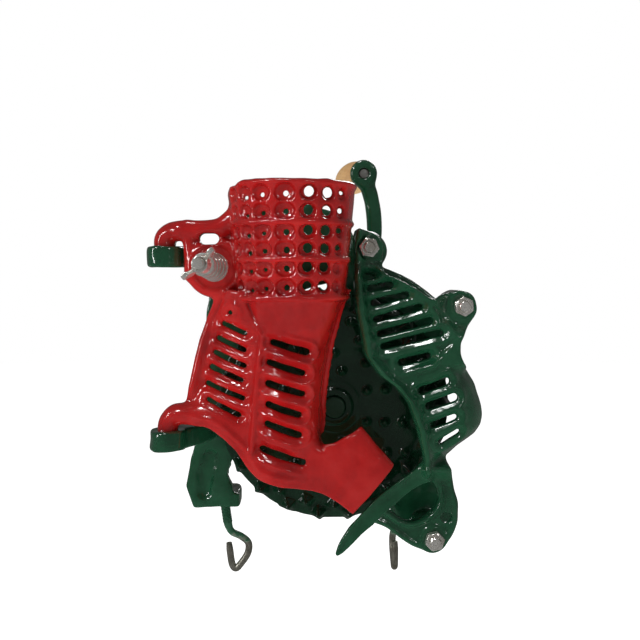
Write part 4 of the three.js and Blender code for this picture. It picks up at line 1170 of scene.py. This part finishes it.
# Lines of the ribs down the frame's arms, in X and Z.
FRAME_RIBS = [
    [(4, 20), (13, 92), (22, 114)], [(16, 13), (86, 71)], [(10, -14), (68, -90)],
    [(-17, 6), (-88, 31)], [(-16, -7), (-66, -28)],
]
RIB_Y, RIB_R = 28.6, 3.2
FOOT_HOLLOW = [(-97, 18, -44), (-101, 17, -58), (-102, 18, -72)]
CRANK_MIDDLE, CRANK_EYE = 72, (28.5, 185)
CRANK_LINE = [(0, 0), (14, 42), (30, 88), (37.5, 128), (36.5, 158), CRANK_EYE]


def frame_casting():
    """The frame's own solid with every edge rounded, its arms ribbed and its left foot hollowed."""
    clay = clay_from_node("frame")
    clay.blur(3)
    clay.add((8, -14, 98), (46, 32, 140), disc_y(26.5, 118.5, 13.2, -9, 27, k=3.0), k=4.0)
    for a, b in zip(FOOT_HOLLOW[:-1], FOOT_HOLLOW[1:]):
        clay.cut((-112, 6, -84), (-86, 30, -34), capsule(a, b, 6.5, 6.5), k=3.0)
    for rib in FRAME_RIBS:
        clay.rod([(x, RIB_Y, z) for x, z in spline(rib, 3)], RIB_R, k=4.0)
    casting("frame_casting", clay, (0.9, 9, FRAME_SEED), GREEN, "stand", "green_enamel", "frame")


def crank_arm():
    """The curved flat bar behind the frame, with an eye at each end."""
    clay = Clay((-24, 58, -24), (56, 88, 204))
    bar = spline(CRANK_LINE, 8)
    share = np.linspace(0, 1, len(bar))
    halves = 11 - 4.6 * np.minimum(share * 2, 1)
    nearest = strip_distance(*clay.plane(), bar, halves)
    y = clay.axes[1][None, :, None]
    clay.d = smooth_max(nearest[:, None, :], np.abs(y - CRANK_MIDDLE) - 5.4, 5.0).astype(np.float32)
    clay.add(*around(0, 0, 30, 50, 95), disc_y(0, 0, 17, 64, 80, k=2.0), k=4.0)
    clay.add((8, 50, 165), (48, 95, 205), disc_y(*CRANK_EYE, 11.3, 66, 78, k=2.6), k=4.0)
    clay.cut(*around(0, 0, 16, 40, 99), round_hole(0, 0, SHAFT_BORE), k=0.6)
    clay.cut((8, 40, 165), (48, 99, 205), round_hole(*CRANK_EYE, 4.5), k=1.5)
    casting("crank_casting", clay, (0.35, 9, CRANK_SEED), GREEN, "rotor", "green_enamel", "crank_arm")


# ---- Bolts, nuts and washers ----

GAP = 0.3  # between parts that turn on each other
NUT_TURNS = (8, 24, -14)  # how far each guard nut is turned, in degrees


def hardware(node, how, parts, material, body, slot, crease=32):
    """A piece from turned or bent parts, with sharp edges where they turn by more than crease degrees."""
    made = piece(f"{node}_{how}", *merged(*parts), material, body, slot, node)
    made.data.set_sharp_from_angle(angle=math.radians(crease))
    return made


def turned_part(profile, matrix, radius=0.4, sides=64):
    """A turned part with softened corners; a profile that leaves the axis is a ring."""
    closed = profile[0][0] != 0
    return moved(lathe(softened(profile, radius, closed), sides), matrix)


def rod_profile(low, high, radius):
    return [(0, low), (radius, low), (radius, high), (0, high)]


def ring_profile(low, high, inner, outer):
    return [(inner, low), (outer, low), (outer, high), (inner, high)]


def shift(x, y, z):
    return Matrix.Translation((x, y, z))


def spin(degrees):
    return Matrix.Rotation(math.radians(degrees), 4, "Y")


def node_depths(node):
    """The lowest and highest Y of a CAD node, in the shaft frame."""
    low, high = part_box(node)
    return (low.y - ORIGIN[1]) / MM, (high.y - ORIGIN[1]) / MM


def guard_fixings():
    """Each ear's bolt from behind, and its nut in front with the thread's end standing out of it."""
    for i, ((x, z), turn) in enumerate(zip(LUGS, NUT_TURNS), start=1):
        low, high = node_depths(f"guard_bolt_{i}")
        under_head = high - M8_HEAD
        head = moved(hexagon(M8_FLATS, M8_HEAD, 0), shift(x, under_head, z))
        rod = moved(thread(low, low + 20), shift(x, 0, z))
        shank = [(0, low + 19), (M8_R - 0.4, low + 19), (M8_R - 0.2, under_head + 0.5), (0, under_head + 0.5)]
        plain = turned_part(shank, shift(x, 0, z))
        hardware(f"guard_bolt_{i}", "turned", [head, rod, plain], ZINC, "stand", "zinc")
        low, high = node_depths(f"guard_nut_{i}")
        nut = moved(hexagon(M8_FLATS, high - low, M8_R + 0.15), shift(x, low, z) @ spin(turn))
        hardware(f"guard_nut_{i}", "turned", [nut], ZINC, "stand", "zinc")


# ---- Tension bolt, spring, washer and wing nut ----

TENSION = (-0.16, -0.985, 0.055)  # from the frame towards the wing nut
BOLT_FOOT = -62.5  # of the bolt's head, on its own axis, from the boss
SPRING_LENGTH, SPRING_BASE, SPRING_TIP, SPRING_WIRE, SPRING_COILS = 31, 9.8, 6.4, 2.3, 5
SPRING_SUNK = 0.4  # how far the foot coil reaches below the boss's plane
WASHER_LOW, WASHER_HIGH = SPRING_LENGTH + 0.6, SPRING_LENGTH + 2.2
WING_TURN = 81  # of the wings about the bolt, in degrees


def along_tension(height=0.0, turn=0.0):
    """Turns local +Y along the tension bolt, with the origin on the boss."""
    return turn_to(Vector(TENSION).normalized(), BOSS) @ shift(0, height, 0) @ spin(turn)


def tension_bolt():
    """The long bolt from behind the frame, threaded in front of the boss."""
    rod = moved(thread(0, SPRING_LENGTH + 15), along_tension())
    plain = turned_part(rod_profile(BOLT_FOOT - 0.5, 1, M8_R - 0.1), along_tension())
    head = moved(hexagon(M8_FLATS, M8_HEAD, 0), along_tension(BOLT_FOOT - M8_HEAD))
    hardware("tension_bolt", "turned", [rod, plain, head], ZINC, "stand", "zinc")


def tension_spring():
    """A conical coil spring whose end coils lie flat on the boss and under the washer."""
    points = []
    count = SPRING_COILS * 40
    for i in range(count + 1):
        t = i / count
        turn = t * SPRING_COILS * TAU
        rise = smoothstep(0.0, 1.0, t) * 0.35 + t * 0.65
        radius = SPRING_BASE + (SPRING_TIP - SPRING_BASE) * t
        height = -SPRING_SUNK + SPRING_WIRE / 2 + rise * (SPRING_LENGTH - SPRING_WIRE + SPRING_SUNK)
        points.append((radius * math.cos(turn), height, -radius * math.sin(turn)))
    radii = [SPRING_WIRE / 2 * min(1, 0.75 + 0.1 * min(i, count - i)) for i in range(count + 1)]
    wire = moved(tube(points, radii, 16), along_tension())
    made = hardware("tension_spring", "coiled", [wire], SPRING_STEEL, "tension", "spring_steel", 60)
    seat = ORIGIN + placed([(0, SPRING_LENGTH, 0)], along_tension())[0] * MM
    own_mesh(made)


def spring_washer():
    ring = turned_part(ring_profile(WASHER_LOW, WASHER_HIGH, M8_R + GAP, 8), along_tension())
    hardware("spring_washer", "stamped", [ring], ZINC, "tension", "zinc")


def wing_nut():
    """A forged wing nut: a round hub with two thin wings whose tips are rounded and thicker."""
    clay = Clay((-18, -2, -9), (18, 18, 9), 0.35)

    def hub(x, y, z):
        radius = 6.6 - 0.13 * np.maximum(y - 1.5, 0)
        return smooth_max(np.hypot(x, z) - radius, np.abs(y - 4.5) - 4.5, 1.0)

    clay.add((-12, -2, -9), (12, 14, 9), hub)
    for side in (-1, 1):
        web = spline([(side * 4, 3.5), (side * 8, 5.2), (side * 10.6, 8.4), (side * 11.8, 11.4)], 4)

        def wing(x, y, z):
            flat = strip_distance(x, y, web, np.linspace(3.4, 2.9, len(web)))
            thick = 1.5 + 0.35 * smoothstep(9, 13, y) + 1.0 * smoothstep(7, 4, np.abs(x))
            return smooth_max(flat, np.abs(z) - thick, 1.0)

        clay.add((-18, -2, -9), (18, 18, 9), wing, k=1.2)
    clay.cut(*around(0, 0, 6, -3, 19), round_hole(0, 0, M8_R + 0.2), k=0.6)
    points, faces = clay.mesh(0.08, 3, WING_SEED)
    points = placed(points, along_tension(WASHER_HIGH + GAP, WING_TURN))
    piece("wing_nut_forged", points, faces, ZINC, "wing", "zinc", "wing_nut")


# ---- Shaft, its washers and the grip ----

GRIP_TILT = (-0.075, 1, 0.035)
GRIP_START, GRIP_LENGTH, GRIP_R = 9.6, 96, 14.2
GRIP_BORE, GRIP_BOLT_R, PIN_R = 4.7, 4.2, 2.5
SCORED = (8, 88)  # how far along the grip its two lines are


def shaft_fittings():
    """The shaft with its pin, washers and nut, each ending where its CAD node ends."""
    shaft = turned_part(rod_profile(*node_depths("drive_shaft"), SHAFT_R), Matrix(), 1.0)
    hardware("drive_shaft", "turned", [shaft], SHAFT_STEEL, "rotor", "steel", 50)
    low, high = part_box("disc_pin")
    reach = (high.x - low.x) / MM / 2
    middle = [((low[i] + high[i]) / 2 - ORIGIN[i]) / MM for i in range(3)]
    pin = turned_part(rod_profile(-reach, reach, PIN_R), turn_to((1, 0, 0), middle), 0.6, 32)
    hardware("disc_pin", "turned", [pin], STEEL, "rotor", "steel", 50)
    for node in ("thrust_washer", "crank_washer"):
        low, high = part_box(node)
        outer = (high.x - low.x) / MM / 2
        ring = turned_part(ring_profile(*node_depths(node), SHAFT_R + GAP, outer), Matrix())
        hardware(node, "stamped", [ring], STEEL, "rotor", "steel")
    low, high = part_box("crank_nut")
    flats = min(high.z - low.z, high.x - low.x) / MM
    near, far = node_depths("crank_nut")
    nut = moved(hexagon(flats, far - near, SHAFT_R + GAP, 1.2), shift(0, near, 0))
    hardware("crank_nut", "turned", [nut], ZINC, "rotor", "zinc")


def along_grip(height=0.0):
    """Turns local +Y along the grip, with the origin in the middle of the crank's eye."""
    place = (CRANK_EYE[0], CRANK_MIDDLE, CRANK_EYE[1])
    return turn_to(Vector(GRIP_TILT).normalized(), place) @ shift(0, height, 0)


def grip():
    """The turned wooden grip, widest before its middle, with two scored lines, and its bolt and washer."""
    curve = spline([(9.6, 0.6), (10.8, 3), (12.3, 14), (13.9, 30), (GRIP_R, 44), (13.7, 60), (12.4, 76),
                    (11.2, 86), (10.6, 92), (9.0, GRIP_LENGTH)], 8)
    outer = [(r - sum(0.35 * swell(y - line, 0.5) for line in SCORED), y) for r, y in curve]
    profile = [(GRIP_BORE, 0), (8.8, 0), *outer, (8.4, GRIP_LENGTH + 0.1), (GRIP_BORE, GRIP_LENGTH)]
    turned = moved(lathe(profile, 96), along_grip(GRIP_START))
    hardware("grip", "turned", [turned], WOOD, "handle", "grip_wood", 45)
    end = GRIP_START + GRIP_LENGTH + 1.8
    profile = [(0, -4), (GRIP_BOLT_R, -4), (GRIP_BOLT_R, end), (7, end), (7, end + 1.6),
               (4.6, end + 3.4), (0, end + 3.8)]
    bolt = turned_part(profile, along_grip(), 0.8)
    hardware("grip_bolt", "turned", [bolt], STEEL, "rotor", "steel", 50)
    washer = turned_part(ring_profile(0, 1.5, 4.6, 8.5), along_grip(GRIP_START - 1.9))
    hardware("grip_washer", "stamped", [washer], STEEL, "rotor", "steel")


# ---- Clamp screws ----

CLAMP_Y, JAW_BOTTOM = 42, -85
PAD_TOP, PAD_BOTTOM, PAD_TIP, PAD_R = -53, -63.5, -56.5, 10
# The finger loop under a screw: it bends round and comes back up beside its own start.
LOOP = [(0, -101), (0.3, -107), (2.5, -112.5), (9, -117), (14.2, -123.5), (12.5, -132), (5.5, -140),
        (1, -143.2), (-1.6, -139.5), (-1.8, -130), (-1.5, -121)]


def clamp_matrix(x, tilt):
    """Turns local +Y up along a clamp's screw."""
    pivot = shift(x, CLAMP_Y, JAW_BOTTOM) @ spin(-tilt) @ shift(0, 0, -JAW_BOTTOM)
    return pivot @ Matrix.Rotation(math.radians(90), 4, "X")


def clamp(name, x, tilt, loop_turn):
    """A rolled screw with its end drawn out and bent into a loop, and the pad that turns on its tip."""
    matrix = clamp_matrix(x, tilt)
    rod = moved(thread(-104, PAD_TIP), matrix)
    bend = [(across, 0, height) for across, height in spline(LOOP, 8)]
    shares = np.linspace(0, 1, len(bend))
    radii = 2.9 + 0.9 * smoothstep(0.18, 0.0, shares) - 0.5 * smoothstep(0.93, 1.0, shares)
    tip_down = Matrix.Rotation(math.radians(-90), 4, "X") @ Matrix.Rotation(math.radians(loop_turn), 4, "Z")
    loop = moved(tube(bend, radii, 20), matrix @ tip_down)
    hardware(f"{name}_clamp_screw", "forged", [rod, loop], SCREW_STEEL, f"{name}_screw", "screw_steel", 40)
    r, bore = PAD_R, M8_R + GAP
    profile = [
        (0, PAD_TIP + GAP), (bore, PAD_TIP + GAP), (bore, PAD_BOTTOM), (r - 3, PAD_BOTTOM),
        (r - 2.5, PAD_TIP - 3.5), (r, PAD_TIP), (r, PAD_TOP - 1), (r - 1, PAD_TOP), (6, PAD_TOP),
        (5.6, PAD_TOP - 0.4), (5, PAD_TOP), (0, PAD_TOP),
    ]
    pad = turned_part(profile, matrix, 0.7)
    hardware(f"{name}_clamp_pad", "turned", [pad], SCREW_STEEL, f"{name}_pad", "screw_steel", 50)


feed_cover()
guard()
shelling_disc()
frame_casting()
crank_arm()
guard_fixings()
tension_bolt()
tension_spring()
spring_washer()
wing_nut()
shaft_fittings()
grip()
clamp("left", -88, 8, 0)
clamp("right", 53, 0, 90)
